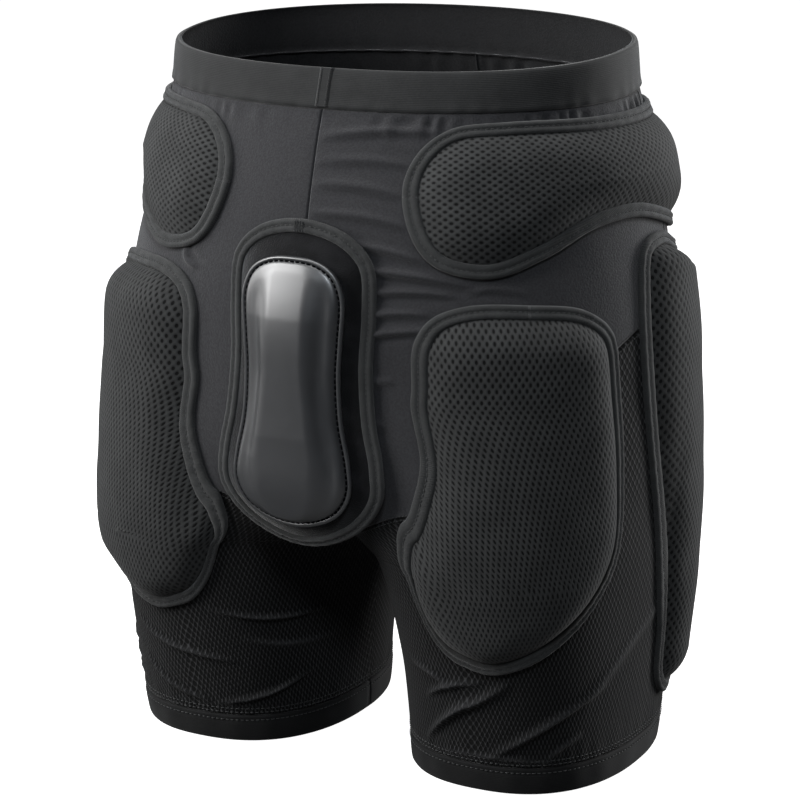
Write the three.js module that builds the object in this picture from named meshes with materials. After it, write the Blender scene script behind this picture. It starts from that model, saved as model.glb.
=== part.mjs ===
// Padded impact shorts: a stretch garment with sewn-on pads, standing as if worn.
// Millimetres, +Z up, the front of the shorts faces -Y, the wearer's left is +X.
import * as THREE from "three";

// ---- garment ----
const HEIGHT = 465; // hem to waist edge
const WAISTBAND_Z = 437; // lower edge of the waistband
const HEM_TOP_Z = 19; // upper edge of the hem bands
const CROTCH_Z = 150; // where the two legs part
const RISE_TOP_Z = 262; // above this the front is one smooth curve
const INNER_HEM_X = 27; // half the gap between the legs at the hem
const SIDE_SEAM_Z = 300; // top of the perforated leg panel at the side
const WAIST_DIP = 9; // how far the front of the waist edge hangs down
const DIP_FROM_Z = 370;
const FABRIC = 2;
const BAND = 3;
const GAP = 0.5; // left between neighbouring panels
const CENTRE_Y = 10; // moves the whole garment over the middle of its own footprint
const AROUND = 20; // panel columns round one leg
const SIDE_COLUMN = 11; // the column that carries the side seam
const SEAM_TURN = 0.0015; // share of the way round that the side seam leaves open on each side

// height, half width, front depth, back depth, squareness of the front
const STATIONS = [
  [0, 176, -101, 98, 2.4],
  [60, 181, -112, 109, 2.4],
  [120, 185, -124, 120, 2.4],
  [180, 187, -135, 129, 2.4],
  [240, 187, -141, 132, 2.4],
  [300, 184, -141, 132, 2.35],
  [360, 175, -134, 127, 2.1],
  [410, 164, -121, 117, 2.05],
  [438, 157, -112, 108, 2.15],
  [465, 154, -104, 104, 2.3],
];
const BACK_SQUARENESS = 2.05;

// ---- pads ----
const PAD_LIFT = 1.8; // pad underside above the fabric
const COVER = 1.4; // thickness of the mesh cover
const SLACK = 0.4; // between foam and cover
const BINDING_WIDTH = 6.5;
const BINDING_HEIGHT = 3;
const BINDING_GAP = 0.5;
const EDGE_ROUND = 26; // how far in the pad takes to reach its full height

const DEGREE = Math.PI / 180;
const clamp = (v, low, high) => Math.min(high, Math.max(low, v));
const power = (v, e) => Math.sign(v) * Math.abs(v) ** e;

// A smooth curve through one column of the stations.
function along(z, column) {
  const last = STATIONS.length - 1;
  const i = clamp(STATIONS.findIndex((s) => s[0] > z) - 1, z >= HEIGHT ? last - 1 : 0, last - 1);
  const slope = (k) => {
    const lo = STATIONS[Math.max(k - 1, 0)];
    const hi = STATIONS[Math.min(k + 1, last)];
    return (hi[column] - lo[column]) / (hi[0] - lo[0]);
  };
  const span = STATIONS[i + 1][0] - STATIONS[i][0];
  const t = clamp((z - STATIONS[i][0]) / span, 0, 1);
  return (
    (1 + 2 * t) * (1 - t) ** 2 * STATIONS[i][column] +
    t * (1 - t) ** 2 * span * slope(i) +
    t * t * (3 - 2 * t) * STATIONS[i + 1][column] +
    t * t * (t - 1) * span * slope(i + 1)
  );
}

// The level cut through the left half: a leg below the crotch, half a hip above it.
function section(z) {
  const outer = along(z, 1);
  const front = along(z, 2);
  const back = along(z, 3);
  const split = clamp((RISE_TOP_Z - z) / (RISE_TOP_Z - CROTCH_Z), 0, 1) ** 1.5;
  const low = clamp(z, 0, CROTCH_Z) / CROTCH_Z;
  const inner = INNER_HEM_X * (1 - low * low) ** 0.6;
  const a = z >= CROTCH_Z ? outer / (1 + split) : (outer - inner) / 2;
  return { x: outer - a, a, y: (front + back) / 2, b: (back - front) / 2, split };
}

// 2 gives an ellipse; more is squarer.
const squareness = (z, front) => (front ? along(z, 4) : BACK_SQUARENESS);

// turn 0 is the wearer's left side, -90 degrees the front, 90 the back.
function bodyPoint(turn, z) {
  const s = section(z);
  const e = 2 / squareness(z, turn < 0);
  const y = s.y + s.b * power(Math.sin(turn), e);
  const dip = (WAIST_DIP * y) / 105;
  const raise = clamp((z - DIP_FROM_Z) / (HEIGHT - DIP_FROM_Z), 0, 1) ** 2;
  return new THREE.Vector3(s.x + s.a * power(Math.cos(turn), e), y, z + dip * raise);
}

function bodyNormal(turn, z) {
  const across = bodyPoint(turn + 1e-3, z).sub(bodyPoint(turn - 1e-3, z));
  const up = bodyPoint(turn, z + 0.5).sub(bodyPoint(turn, z - 0.5));
  return across.cross(up).normalize();
}

const onBody = (turn, z, lift) =>
  bodyPoint(turn, z).addScaledVector(bodyNormal(turn, z), lift);

// The turn at which the half section meets the middle of the garment.
function lastTurn(z, front) {
  if (z <= CROTCH_Z) return Math.PI;
  return Math.acos(-(section(z).split ** (squareness(z, front) / 2)));
}

// A point of a garment panel: u runs from -1 (middle front) over the side to 1 (middle back).
function panelPoint(u, z, lift) {
  const p = onBody(u * lastTurn(z, u < 0), z, lift);
  p.x = Math.max(p.x, GAP / 2);
  if (z === 0) p.z = 0;
  return p;
}

// Height of the seam between the jersey and the perforated leg panel.
const legSeam = (u) =>
  CROTCH_Z + (SIDE_SEAM_Z - CROTCH_Z) * Math.max(Math.cos((u * Math.PI) / 2), 0) ** 1.5;

// ---- solids ----
function solid(points, faces) {
  const g = new THREE.BufferGeometry();
  g.setAttribute("position", new THREE.Float32BufferAttribute(points.flatMap((p) => p.toArray()), 3));
  g.setIndex(faces.flat());
  const flat = g.toNonIndexed();
  flat.computeVertexNormals();
  return flat;
}

// Closes the space between two grids of points; wrap joins the last column to the first.
function shell(columns, rows, wrap, outside, inside) {
  const count = wrap ? columns : columns + 1;
  const points = [];
  const faces = [];
  for (const face of [outside, inside])
    for (let i = 0; i < count; i++) for (let j = 0; j <= rows; j++) points.push(face(i, j));
  const at = (side, i, j) => side * count * (rows + 1) + (i % count) * (rows + 1) + j;
  const quad = (a, b, c, d) => faces.push([a, b, c], [a, c, d]);
  for (let i = 0; i < columns; i++) {
    for (let j = 0; j < rows; j++) {
      quad(at(0, i, j), at(0, i + 1, j), at(0, i + 1, j + 1), at(0, i, j + 1));
      quad(at(1, i, j), at(1, i, j + 1), at(1, i + 1, j + 1), at(1, i + 1, j));
    }
    quad(at(0, i + 1, 0), at(0, i, 0), at(1, i, 0), at(1, i + 1, 0));
    quad(at(0, i, rows), at(0, i + 1, rows), at(1, i + 1, rows), at(1, i, rows));
  }
  if (!wrap)
    for (let j = 0; j < rows; j++) {
      quad(at(0, 0, j), at(0, 0, j + 1), at(1, 0, j + 1), at(1, 0, j));
      quad(at(0, columns, j + 1), at(0, columns, j), at(1, columns, j), at(1, columns, j + 1));
    }
  return solid(points, faces);
}

// Fills a long ring with triangles that run across it, from one end of its middle line on.
function ladder(ring, spine) {
  const n = ring.length;
  const along = (i) => {
    const q = ring[(i + n) % n];
    return (q.x - spine[0][0]) * (spine[1][0] - spine[0][0]) + (q.y - spine[0][1]) * (spine[1][1] - spine[0][1]);
  };
  let start = 0;
  for (let i = 1; i < n; i++) if (along(i) < along(start)) start = i;
  const triangles = [];
  for (let ahead = start, behind = start + n; behind - ahead > 1; ) {
    if (along(ahead + 1) < along(behind - 1)) {
      triangles.push([ahead % n, (ahead + 1) % n, behind % n]);
      ahead += 1;
    } else {
      triangles.push([ahead % n, (behind - 1) % n, behind % n]);
      behind -= 1;
    }
  }
  return triangles.filter(([a, b, c]) => a !== b && b !== c && c !== a);
}

// A cushion between two stacks of rings; rings run from the rim inwards, the last is filled.
function cushion(rings, spine, top, bottom) {
  const n = rings[0].length;
  const points = [];
  for (const face of [top, bottom]) rings.forEach((ring, k) => ring.forEach((q) => points.push(face(q, k))));
  const at = (side, k, i) => side * rings.length * n + k * n + (i % n);
  const faces = [];
  for (let i = 0; i < n; i++) {
    for (let k = 0; k + 1 < rings.length; k++) {
      faces.push([at(0, k, i), at(0, k, i + 1), at(0, k + 1, i + 1)]);
      faces.push([at(0, k, i), at(0, k + 1, i + 1), at(0, k + 1, i)]);
      faces.push([at(1, k, i), at(1, k + 1, i + 1), at(1, k, i + 1)]);
      faces.push([at(1, k, i), at(1, k + 1, i), at(1, k + 1, i + 1)]);
    }
    faces.push([at(1, 0, i), at(1, 0, i + 1), at(0, 0, i + 1)], [at(1, 0, i), at(0, 0, i + 1), at(0, 0, i)]);
  }
  const k = rings.length - 1;
  for (const [a, b, c] of ladder(rings[k], spine)) {
    faces.push([at(0, k, a), at(0, k, b), at(0, k, c)]);
    faces.push([at(1, k, a), at(1, k, c), at(1, k, b)]);
  }
  return solid(points, faces);
}

// ---- pad outlines ----
// A smooth closed outline through a few points, counter-clockwise as seen from outside.
function outline(points, count) {
  const closed = points.map(([s, t]) => new THREE.Vector3(s, t, 0));
  const curve = new THREE.CatmullRomCurve3(closed, true, "centripetal");
  const ring = curve.getSpacedPoints(count).slice(0, count).map((p) => new THREE.Vector2(p.x, p.y));
  return THREE.ShapeUtils.isClockWise(ring) ? ring.reverse() : ring;
}

function inset(ring, distance) {
  const n = ring.length;
  return ring.map((p, i) => {
    const along = ring[(i + 1) % n].clone().sub(ring[(i + n - 1) % n]).normalize();
    return new THREE.Vector2(p.x - along.y * distance, p.y + along.x * distance);
  });
}

// Rings at the given distances inside the rim, all closing in on the pad's middle line.
function ringsInside(rim, spine, distances) {
  const [a, b] = spine.map(([s, t]) => new THREE.Vector2(s, t));
  const line = b.clone().sub(a);
  return distances.map((d) =>
    rim.map((q) => {
      const t = clamp(q.clone().sub(a).dot(line) / line.lengthSq(), 0, 1);
      const foot = a.clone().addScaledVector(line, t);
      const reach = q.distanceTo(foot);
      return q.clone().lerp(foot, d === 0 || d > 1 ? Math.min(d / reach, 0.25 + d / 80) : d);
    }),
  );
}

// Height of a pad over its own underside, for a distance in from its rim.
const dome = (distance, height) =>
  1.6 + (height - 1.6) * (1 - (1 - clamp(distance / EDGE_ROUND, 0, 1)) ** 2);

// Distances in from the rim, then a share of the way to the middle line.
const NARROW_STEPS = [0, 4, 12, 0.6];
const WIDE_STEPS = [0, 4, 12, 25, 0.76];

// place(s, t, lift) puts a point of the pad's own flat layout onto the garment.
function padSolids({ place, points, spine, height, count, steps = NARROW_STEPS }) {
  const edge = outline(points, count);
  const bindingIn = inset(edge, BINDING_WIDTH);
  const rim = inset(edge, BINDING_WIDTH + BINDING_GAP);
  const set = (lift) => (q, k) => place(q.x, q.y, lift(k));
  const full = (k) => dome(steps[k] > 1 || steps[k] === 0 ? steps[k] : EDGE_ROUND, height);
  return {
    foam: cushion(
      ringsInside(rim, spine, steps.slice(1)),
      spine,
      set((k) => PAD_LIFT + (k ? full(k + 1) - COVER - SLACK : 2)),
      set(() => PAD_LIFT),
    ),
    cover: cushion(
      ringsInside(rim, spine, steps),
      spine,
      set((k) => PAD_LIFT + full(k)),
      set((k) => PAD_LIFT + full(k) - COVER),
    ),
    binding: shell(
      count,
      1,
      true,
      (i, j) => place(edge[i].x, edge[i].y, PAD_LIFT + (j ? BINDING_HEIGHT - 0.8 : 0)),
      (i, j) => place(bindingIn[i].x, bindingIn[i].y, PAD_LIFT + (j ? BINDING_HEIGHT : 0)),
    ),
  };
}

// Pads wrapped on the body: s is the turn in degrees times the given scale, t the height.
const wrapped = (scale) => (s, t, lift) => onBody((s / scale) * DEGREE, t, lift);
const scaled = (scale, list) => list.map(([degrees, z]) => [degrees * scale, z]);

const WRAPPED_PADS = {
  hip: {
    scale: 2.4,
    height: 13,
    count: 28,
    spine: [[-48, 384], [36, 388]],
    points: [
      [-70, 384], [-67, 410], [-60, 426], [-47, 430], [-20, 429], [15, 427], [40, 424], [54, 412],
      [58, 386], [52, 357], [38, 345], [22, 346], [6, 356], [-10, 365], [-25, 362], [-39, 347],
      [-53, 336], [-65, 345],
    ],
  },
  thigh: {
    scale: 2.5,
    height: 15,
    count: 34,
    steps: WIDE_STEPS,
    spine: [[-46, 275], [-68, 140]],
    points: [
      [-44, 320], [-30, 315], [-22, 300], [-20, 270], [-20, 215], [-24, 160], [-34, 132],
      [-50, 108], [-68, 92], [-84, 87], [-96, 98], [-103, 120], [-104, 148], [-96, 170],
      [-85, 196], [-75, 226], [-71, 260], [-70, 296], [-66, 312], [-58, 320],
    ],
  },
  side: {
    scale: 2.4,
    height: 14,
    count: 30,
    spine: [[13, 320], [15, 70]],
    points: [
      [13, 343], [1, 352], [-8, 346], [-11, 312], [-9, 230], [-4, 160], [0, 95], [2, 55], [14, 38],
      [28, 55], [30, 95], [33, 160], [36, 230], [36, 300], [28, 331],
    ],
  },
  seat: {
    scale: 2.9,
    height: 16,
    count: 24,
    spine: [[62, 270], [66, 215]],
    points: [
      [58, 325], [46, 312], [42, 280], [44, 230], [52, 190], [66, 174], [80, 188], [84, 225],
      [80, 262], [74, 300],
    ],
  },
};

const TAIL_PAD = {
  scale: 2.9,
  height: 12,
  count: 20,
  spine: [[90, 375], [90, 345]],
  points: [
    [90, 318], [98, 330], [102, 355], [103, 385], [98, 402], [90, 406], [82, 402], [77, 385],
    [78, 355], [82, 330],
  ],
};

// ---- front pad, bridging the groin ahead of the thighs ----
const FRONT_TOP_Z = 374;
const FRONT_TOP_Y = -138;
const FRONT_LEAN = 11; // how far it comes forward before it curls under
const FRONT_CURL_Z = 214; // where the curl starts
const FRONT_CURL_R = 84;
const FRONT_WRAP_R = 230; // sideways curve
const FRONT_HEIGHT = 9;
const FRONT_SHELL = 6;

const leanAngle = Math.atan2(FRONT_LEAN, FRONT_TOP_Z - FRONT_CURL_Z);
const straight = Math.hypot(FRONT_LEAN, FRONT_TOP_Z - FRONT_CURL_Z);

// x across, down measured from the top along the pad's surface.
function onFront(x, minusDown, lift) {
  const down = -minusDown;
  const a = Math.max(down - straight, 0) / FRONT_CURL_R - leanAngle;
  const run = Math.min(down, straight);
  const curlY = FRONT_TOP_Y - FRONT_LEAN + FRONT_CURL_R * Math.cos(leanAngle);
  const curlZ = FRONT_CURL_Z - FRONT_CURL_R * Math.sin(leanAngle);
  const y = down < straight ? FRONT_TOP_Y - Math.sin(leanAngle) * run : curlY - FRONT_CURL_R * Math.cos(a);
  const z = down < straight ? FRONT_TOP_Z - Math.cos(leanAngle) * run : curlZ - FRONT_CURL_R * Math.sin(a);
  const back = FRONT_WRAP_R - Math.sqrt(FRONT_WRAP_R ** 2 - x * x);
  const out = lift - back;
  return new THREE.Vector3(x * (1 + lift / FRONT_WRAP_R), y - Math.cos(a) * out, z - Math.sin(a) * out);
}

const FRONT_SPINE = [[0, -60], [0, -150]];
const mirrored = (half) => [...half, ...half.slice(1, -1).reverse().map(([x, d]) => [-x, d])];

const FRONT_OUTLINE = mirrored([
  [0, -6], [30, -13], [47, -30], [50, -60], [49, -95], [52, -130], [57, -155], [57, -178],
  [44, -198], [22, -212], [0, -217],
]);
const SHELL_OUTLINE = mirrored([
  [0, -28], [24, -32], [33, -45], [33, -75], [32, -100], [34, -130], [39, -155], [38, -172],
  [26, -187], [0, -196],
]);

// ---- assembly ----
const root = new THREE.Group();
root.name = "padded_impact_shorts";
root.position.y = CENTRE_Y;

function add(name, geometry, { color, roughness, metalness = 0 }, side = 1) {
  const mesh = new THREE.Mesh(geometry, new THREE.MeshStandardMaterial({ color, roughness, metalness }));
  mesh.name = name;
  mesh.scale.x = side;
  root.add(mesh);
}

const JERSEY = { color: 0x35343a, roughness: 0.85 };
const BAND_CLOTH = { color: 0x343837, roughness: 0.8 };
const LEG_MESH = { color: 0x202126, roughness: 0.9 };
const SPACER_MESH = { color: 0x2f3133, roughness: 0.8 };
const BINDING = { color: 0x2f3332, roughness: 0.75 };
const FOAM = { color: 0x1b1b1d, roughness: 0.95 };
const HARD_SHELL = { color: 0x3c3f42, roughness: 0.2 };

function panel(from, to, lower, upper, rows, thickness, outward, bias = 1) {
  const wrap = from === 0 && to === AROUND;
  const at = (lift) => (i, j) => {
    const column = from + i;
    const atSideSeam = column === SIDE_COLUMN && !wrap;
    const u = (2 * column) / AROUND - 1 + (atSideSeam ? (from ? SEAM_TURN : -SEAM_TURN) : 0);
    const low = lower(u);
    return panelPoint(u, low + (upper(u) - low) * (j / rows) ** bias, lift);
  };
  return shell(to - from, rows, wrap, at(outward), at(outward - thickness));
}

const level = (z) => () => z;

for (const [name, side] of [["left", 1], ["right", -1]]) {
  const aboveSeam = (u) => legSeam(u) + GAP / 2;
  const belowSeam = (u) => legSeam(u) - GAP / 2;
  const jerseyTop = level(WAISTBAND_Z - GAP);
  add("jersey_front_" + name,
    panel(0, SIDE_COLUMN, aboveSeam, jerseyTop, 8, FABRIC, 0, 1.6), JERSEY, side);
  const back = panel(SIDE_COLUMN, AROUND, aboveSeam, jerseyTop, 8, FABRIC, 0, 1.6);
  add("jersey_back_" + name, back, JERSEY, side);
  add("leg_mesh_" + name,
    panel(0, AROUND, level(HEM_TOP_Z + GAP), belowSeam, 6, FABRIC, 0), LEG_MESH, side);
  add("hem_band_" + name,
    panel(0, AROUND, level(0), level(HEM_TOP_Z), 1, BAND, 0.6), BAND_CLOTH, side);

  for (const [pad, { scale, spine, points, ...size }] of Object.entries(WRAPPED_PADS)) {
    const parts = padSolids({
      place: wrapped(scale),
      points: scaled(scale, points),
      spine: scaled(scale, spine),
      ...size,
    });
    add(pad + "_pad_foam_" + name, parts.foam, FOAM, side);
    add(pad + "_pad_cover_" + name, parts.cover, SPACER_MESH, side);
    add(pad + "_pad_binding_" + name, parts.binding, BINDING, side);
  }
}

// The waistband is one loop, so it runs round both halves.
const BAND_COLUMNS = 40;
const bandPoint = (lift) => (i, j) => {
  const turn = (-90 + (360 * i) / BAND_COLUMNS) * DEGREE;
  const z = j ? HEIGHT : WAISTBAND_Z;
  const mirror = Math.cos(turn) < -1e-9 ? -1 : 1;
  const half = Math.asin(clamp(Math.sin(turn), -1, 1));
  const p = onBody(half, z, lift);
  p.x = Math.abs(Math.cos(turn)) < 1e-9 ? 0 : p.x * mirror;
  return p;
};
add("waistband", shell(BAND_COLUMNS, 1, true, bandPoint(0.6), bandPoint(0.6 - BAND)), BAND_CLOTH);

// The waistband's ends are folded over each other and tacked at the middle front.
const JOIN_WIDTH = 6;
const joinPoint = (lift) => (i, j) => {
  const p = onBody(-Math.PI / 2, WAISTBAND_Z + 1 + j * (HEIGHT - WAISTBAND_Z - 2), lift);
  p.x = (i - 0.5) * JOIN_WIDTH;
  return p;
};
add("waistband_front_join", shell(1, 1, false, joinPoint(2.8), joinPoint(1.1)), BAND_CLOTH);

const tail = padSolids({
  place: wrapped(TAIL_PAD.scale),
  points: scaled(TAIL_PAD.scale, TAIL_PAD.points),
  spine: scaled(TAIL_PAD.scale, TAIL_PAD.spine),
  height: TAIL_PAD.height,
  count: TAIL_PAD.count,
});
const front = padSolids({
  place: onFront,
  points: FRONT_OUTLINE,
  spine: FRONT_SPINE,
  height: FRONT_HEIGHT,
  count: 28,
});
for (const [name, parts] of [["tail", tail], ["front", front]]) {
  add(name + "_pad_foam", parts.foam, FOAM);
  add(name + "_pad_cover", parts.cover, SPACER_MESH);
  add(name + "_pad_binding", parts.binding, BINDING);
}

// The hard shell lies on the front pad: a thin rim and a raised middle.
const shellRim = outline(SHELL_OUTLINE, 28);
const SHELL_FOOT = PAD_LIFT + FRONT_HEIGHT + 1;
const shellSteps = [0, 3, 10, 0.4];
const shellHeights = [1.6, 2, FRONT_SHELL - 0.5, FRONT_SHELL];
add(
  "front_hard_shell",
  cushion(
    ringsInside(shellRim, FRONT_SPINE, shellSteps),
    FRONT_SPINE,
    (q, k) => onFront(q.x, q.y, SHELL_FOOT + shellHeights[k]),
    (q) => onFront(q.x, q.y, SHELL_FOOT),
  ),
  HARD_SHELL,
);

export default root;
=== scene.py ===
"""Padded impact shorts: the sewn garment, its bound pads and the hard front shell.

Lengths inside the classes are millimetres in the garment's own frame (+Z up, front -Y,
the wearer's left +X); meshes are written in metres.
"""

import logging
import math
from dataclasses import dataclass, field, replace
from enum import Enum
from functools import partial
from typing import Callable, Sequence

import bpy
import numpy as np
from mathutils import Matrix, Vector


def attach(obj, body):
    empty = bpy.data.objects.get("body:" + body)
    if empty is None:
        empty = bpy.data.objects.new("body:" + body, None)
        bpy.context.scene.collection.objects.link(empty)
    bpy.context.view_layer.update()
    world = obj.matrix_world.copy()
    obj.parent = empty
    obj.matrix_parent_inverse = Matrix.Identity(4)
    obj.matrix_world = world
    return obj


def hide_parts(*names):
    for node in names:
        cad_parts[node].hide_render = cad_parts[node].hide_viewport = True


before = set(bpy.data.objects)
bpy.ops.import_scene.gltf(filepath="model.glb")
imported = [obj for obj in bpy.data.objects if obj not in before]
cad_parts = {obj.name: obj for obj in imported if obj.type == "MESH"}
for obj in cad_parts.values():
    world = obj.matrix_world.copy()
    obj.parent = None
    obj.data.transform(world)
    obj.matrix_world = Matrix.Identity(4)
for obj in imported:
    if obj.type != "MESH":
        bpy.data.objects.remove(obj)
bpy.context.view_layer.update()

LOG = logging.getLogger("impact_shorts")
MM = 0.001
CENTRE_Y = 10.0  # the garment stands over the middle of its own footprint
LAY = "cloth_lay"  # mesh attribute: place on the flat cloth in millimetres, and how pinched it is; the mesh finish closes its holes there and paints a highlight along the fold crests

Array = np.ndarray
Flat = tuple[float, float]
Place = Callable[[Array, Array, Array], Array]


class Side(Enum):
    """The wearer's sides; the value multiplies X."""

    LEFT = 1
    RIGHT = -1

    @property
    def word(self) -> str:
        """The side's name as used in piece names."""
        return self.name.lower()


# ---------------------------------------------------------------- finishes


class ShaderBench:
    """Short words for wiring one material's nodes."""

    def __init__(self, name: str) -> None:
        """Starts a material with its standard shader.

        Args:
            name: name of the material.
        """
        self.material = bpy.data.materials.new(name)
        self.material.use_nodes = True
        self.nodes = self.material.node_tree.nodes
        self.links = self.material.node_tree.links
        self.shader = self.nodes["Principled BSDF"]

    def add(self, kind: str, inputs: dict | None = None, **settings: object) -> bpy.types.Node:
        """Adds a node.

        Args:
            kind: the node's type without its "ShaderNode" prefix.
            inputs: socket name or number to a value or to another node's output.
            settings: properties of the node itself.

        Returns:
            The new node.
        """
        node = self.nodes.new("ShaderNode" + kind)
        for key, value in settings.items():
            setattr(node, key, value)
        for key, value in (inputs or {}).items():
            if isinstance(value, bpy.types.NodeSocket):
                self.links.new(value, node.inputs[key])
            else:
                node.inputs[key].default_value = value
        return node

    def math(self, operation: str, a: object, b: object = 0.0) -> bpy.types.NodeSocket:
        """One arithmetic step; returns its output."""
        return self.add("Math", {0: a, 1: b}, operation=operation).outputs[0]

    def vector(self, operation: str, a: object, b: object = (0, 0, 0)) -> bpy.types.NodeSocket:
        """One vector step; returns its vector output."""
        return self.add("VectorMath", {0: a, 1: b}, operation=operation).outputs["Vector"]

    def length(self, a: object) -> bpy.types.NodeSocket:
        """Length of a vector."""
        return self.add("VectorMath", {0: a}, operation="LENGTH").outputs["Value"]

    def lay(self) -> bpy.types.NodeSocket:
        """Place on the flat cloth, in millimetres."""
        return self.add("Attribute", attribute_name=LAY).outputs["Vector"]

    def noise(self, scale: float, detail: float = 2.0) -> bpy.types.NodeSocket:
        """Smooth noise in the garment's space; scale is per metre."""
        place = self.add("TexCoord").outputs["Object"]
        return self.add("TexNoise", {0: place, "Scale": scale, "Detail": detail}).outputs["Fac"]

    def ramp(
        self, value: object, low: float, high: float, at_low: float = 0.0, at_high: float = 1.0
    ) -> bpy.types.NodeSocket:
        """Eases a value into another range.

        Args:
            value: what is eased.
            low: value at which the step starts.
            high: value at which the step ends.
            at_low: result up to low.
            at_high: result from high on.

        Returns:
            The eased value.
        """
        sockets = {
            "Value": value, "From Min": low, "From Max": high, "To Min": at_low, "To Max": at_high
        }
        return self.add("MapRange", sockets, interpolation_type="SMOOTHSTEP").outputs["Result"]

    def halves(self, a: object, b: object) -> bpy.types.NodeSocket:
        """Even blend of two values."""
        return self.math("ADD", self.math("MULTIPLY", a, 0.5), self.math("MULTIPLY", b, 0.5))

    def tint(
        self, factor: object, dark: Sequence[float], light: Sequence[float]
    ) -> bpy.types.NodeSocket:
        """Mixes two colours.

        Args:
            factor: share of the light colour.
            dark: colour at 0.
            light: colour at 1.

        Returns:
            The mixed colour.
        """
        mix = self.add("Mix", data_type="RGBA")
        self.links.new(factor, mix.inputs["Factor"])
        mix.inputs[6].default_value = (*dark, 1.0)
        mix.inputs[7].default_value = (*light, 1.0)
        return mix.outputs[2]

    def bump(self, height: object, depth: float, under: object = None) -> bpy.types.NodeSocket:
        """Lays a relief on the surface.

        Args:
            height: the relief.
            depth: millimetres of relief per unit of height.
            under: normal of a relief that lies beneath this one.

        Returns:
            The normal.
        """
        sockets = {"Height": height, "Strength": 1.0, "Distance": depth * MM}
        if under is not None:
            sockets["Normal"] = under
        return self.add("Bump", sockets).outputs["Normal"]

    def finish(
        self, colour: object, normal: object, roughness: object, **uniform: float
    ) -> bpy.types.Material:
        """Connects the shader and returns the material.

        Args:
            colour: colour socket.
            normal: normal socket.
            roughness: number or socket.
            uniform: shader sockets that are the same all over, by name with underscores.

        Returns:
            The finished material.
        """
        self.links.new(colour, self.shader.inputs["Base Color"])
        self.links.new(normal, self.shader.inputs["Normal"])
        if isinstance(roughness, bpy.types.NodeSocket):
            self.links.new(roughness, self.shader.inputs["Roughness"])
        else:
            self.shader.inputs["Roughness"].default_value = roughness
        for key, value in uniform.items():
            self.shader.inputs[key.replace("_", " ")].default_value = value
        return self.material


@dataclass(frozen=True)
class Finish:
    """A cloth or plastic finish; subclasses say how it is woven, knitted or moulded."""

    name: str
    colour: tuple[float, float, float]

    def shade(self, factor: float) -> tuple[float, float, float]:
        """The colour, darker or lighter by factor."""
        return tuple(c * factor for c in self.colour)

    def material(self) -> bpy.types.Material:
        """The finish as a material, made once."""
        return bpy.data.materials.get(self.name) or self.mix(ShaderBench(self.name))

    def mix(self, bench: ShaderBench) -> bpy.types.Material:
        """Wires the finish on a fresh bench.

        Args:
            bench: fresh bench to wire on.

        Returns:
            The finished material.
        """
        raise NotImplementedError


@dataclass(frozen=True)
class KnitFinish(Finish):
    """Fine stretch knit: columns of loops, with a soft sheen and slight mottling."""

    wale: float = 1.1
    course: float = 0.9
    depth: float = 0.12
    sheen: float = 0.35

    def mix(self, bench: ShaderBench) -> bpy.types.Material:
        """Wires the knit.

        Args:
            bench: fresh bench to wire on.

        Returns:
            The finished material.
        """
        size = (2 * math.pi / self.wale, 2 * math.pi / self.course, 0)
        parts = bench.add("SeparateXYZ", {0: bench.vector("MULTIPLY", bench.lay(), size)})
        loops = bench.math("MULTIPLY", *(bench.math("SINE", parts.outputs[i]) for i in (0, 1)))
        mottle = bench.noise(55.0, 4.0)
        grain = bench.ramp(bench.noise(750.0, 2.0), 0.3, 0.7)
        fuzz = bench.noise(1400.0, 2.0)
        rough = bench.math("ADD", fuzz, grain)
        height = bench.math("ADD", bench.math("MULTIPLY", loops, 0.5), rough)
        colour = bench.tint(bench.halves(mottle, grain), self.shade(0.6), self.shade(1.4))
        return bench.finish(
            colour, bench.bump(height, self.depth), bench.ramp(mottle, 0.3, 0.7, 0.78, 0.9),
            Sheen_Weight=self.sheen, Sheen_Roughness=0.45, Specular_IOR_Level=0.25,
        )


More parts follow.
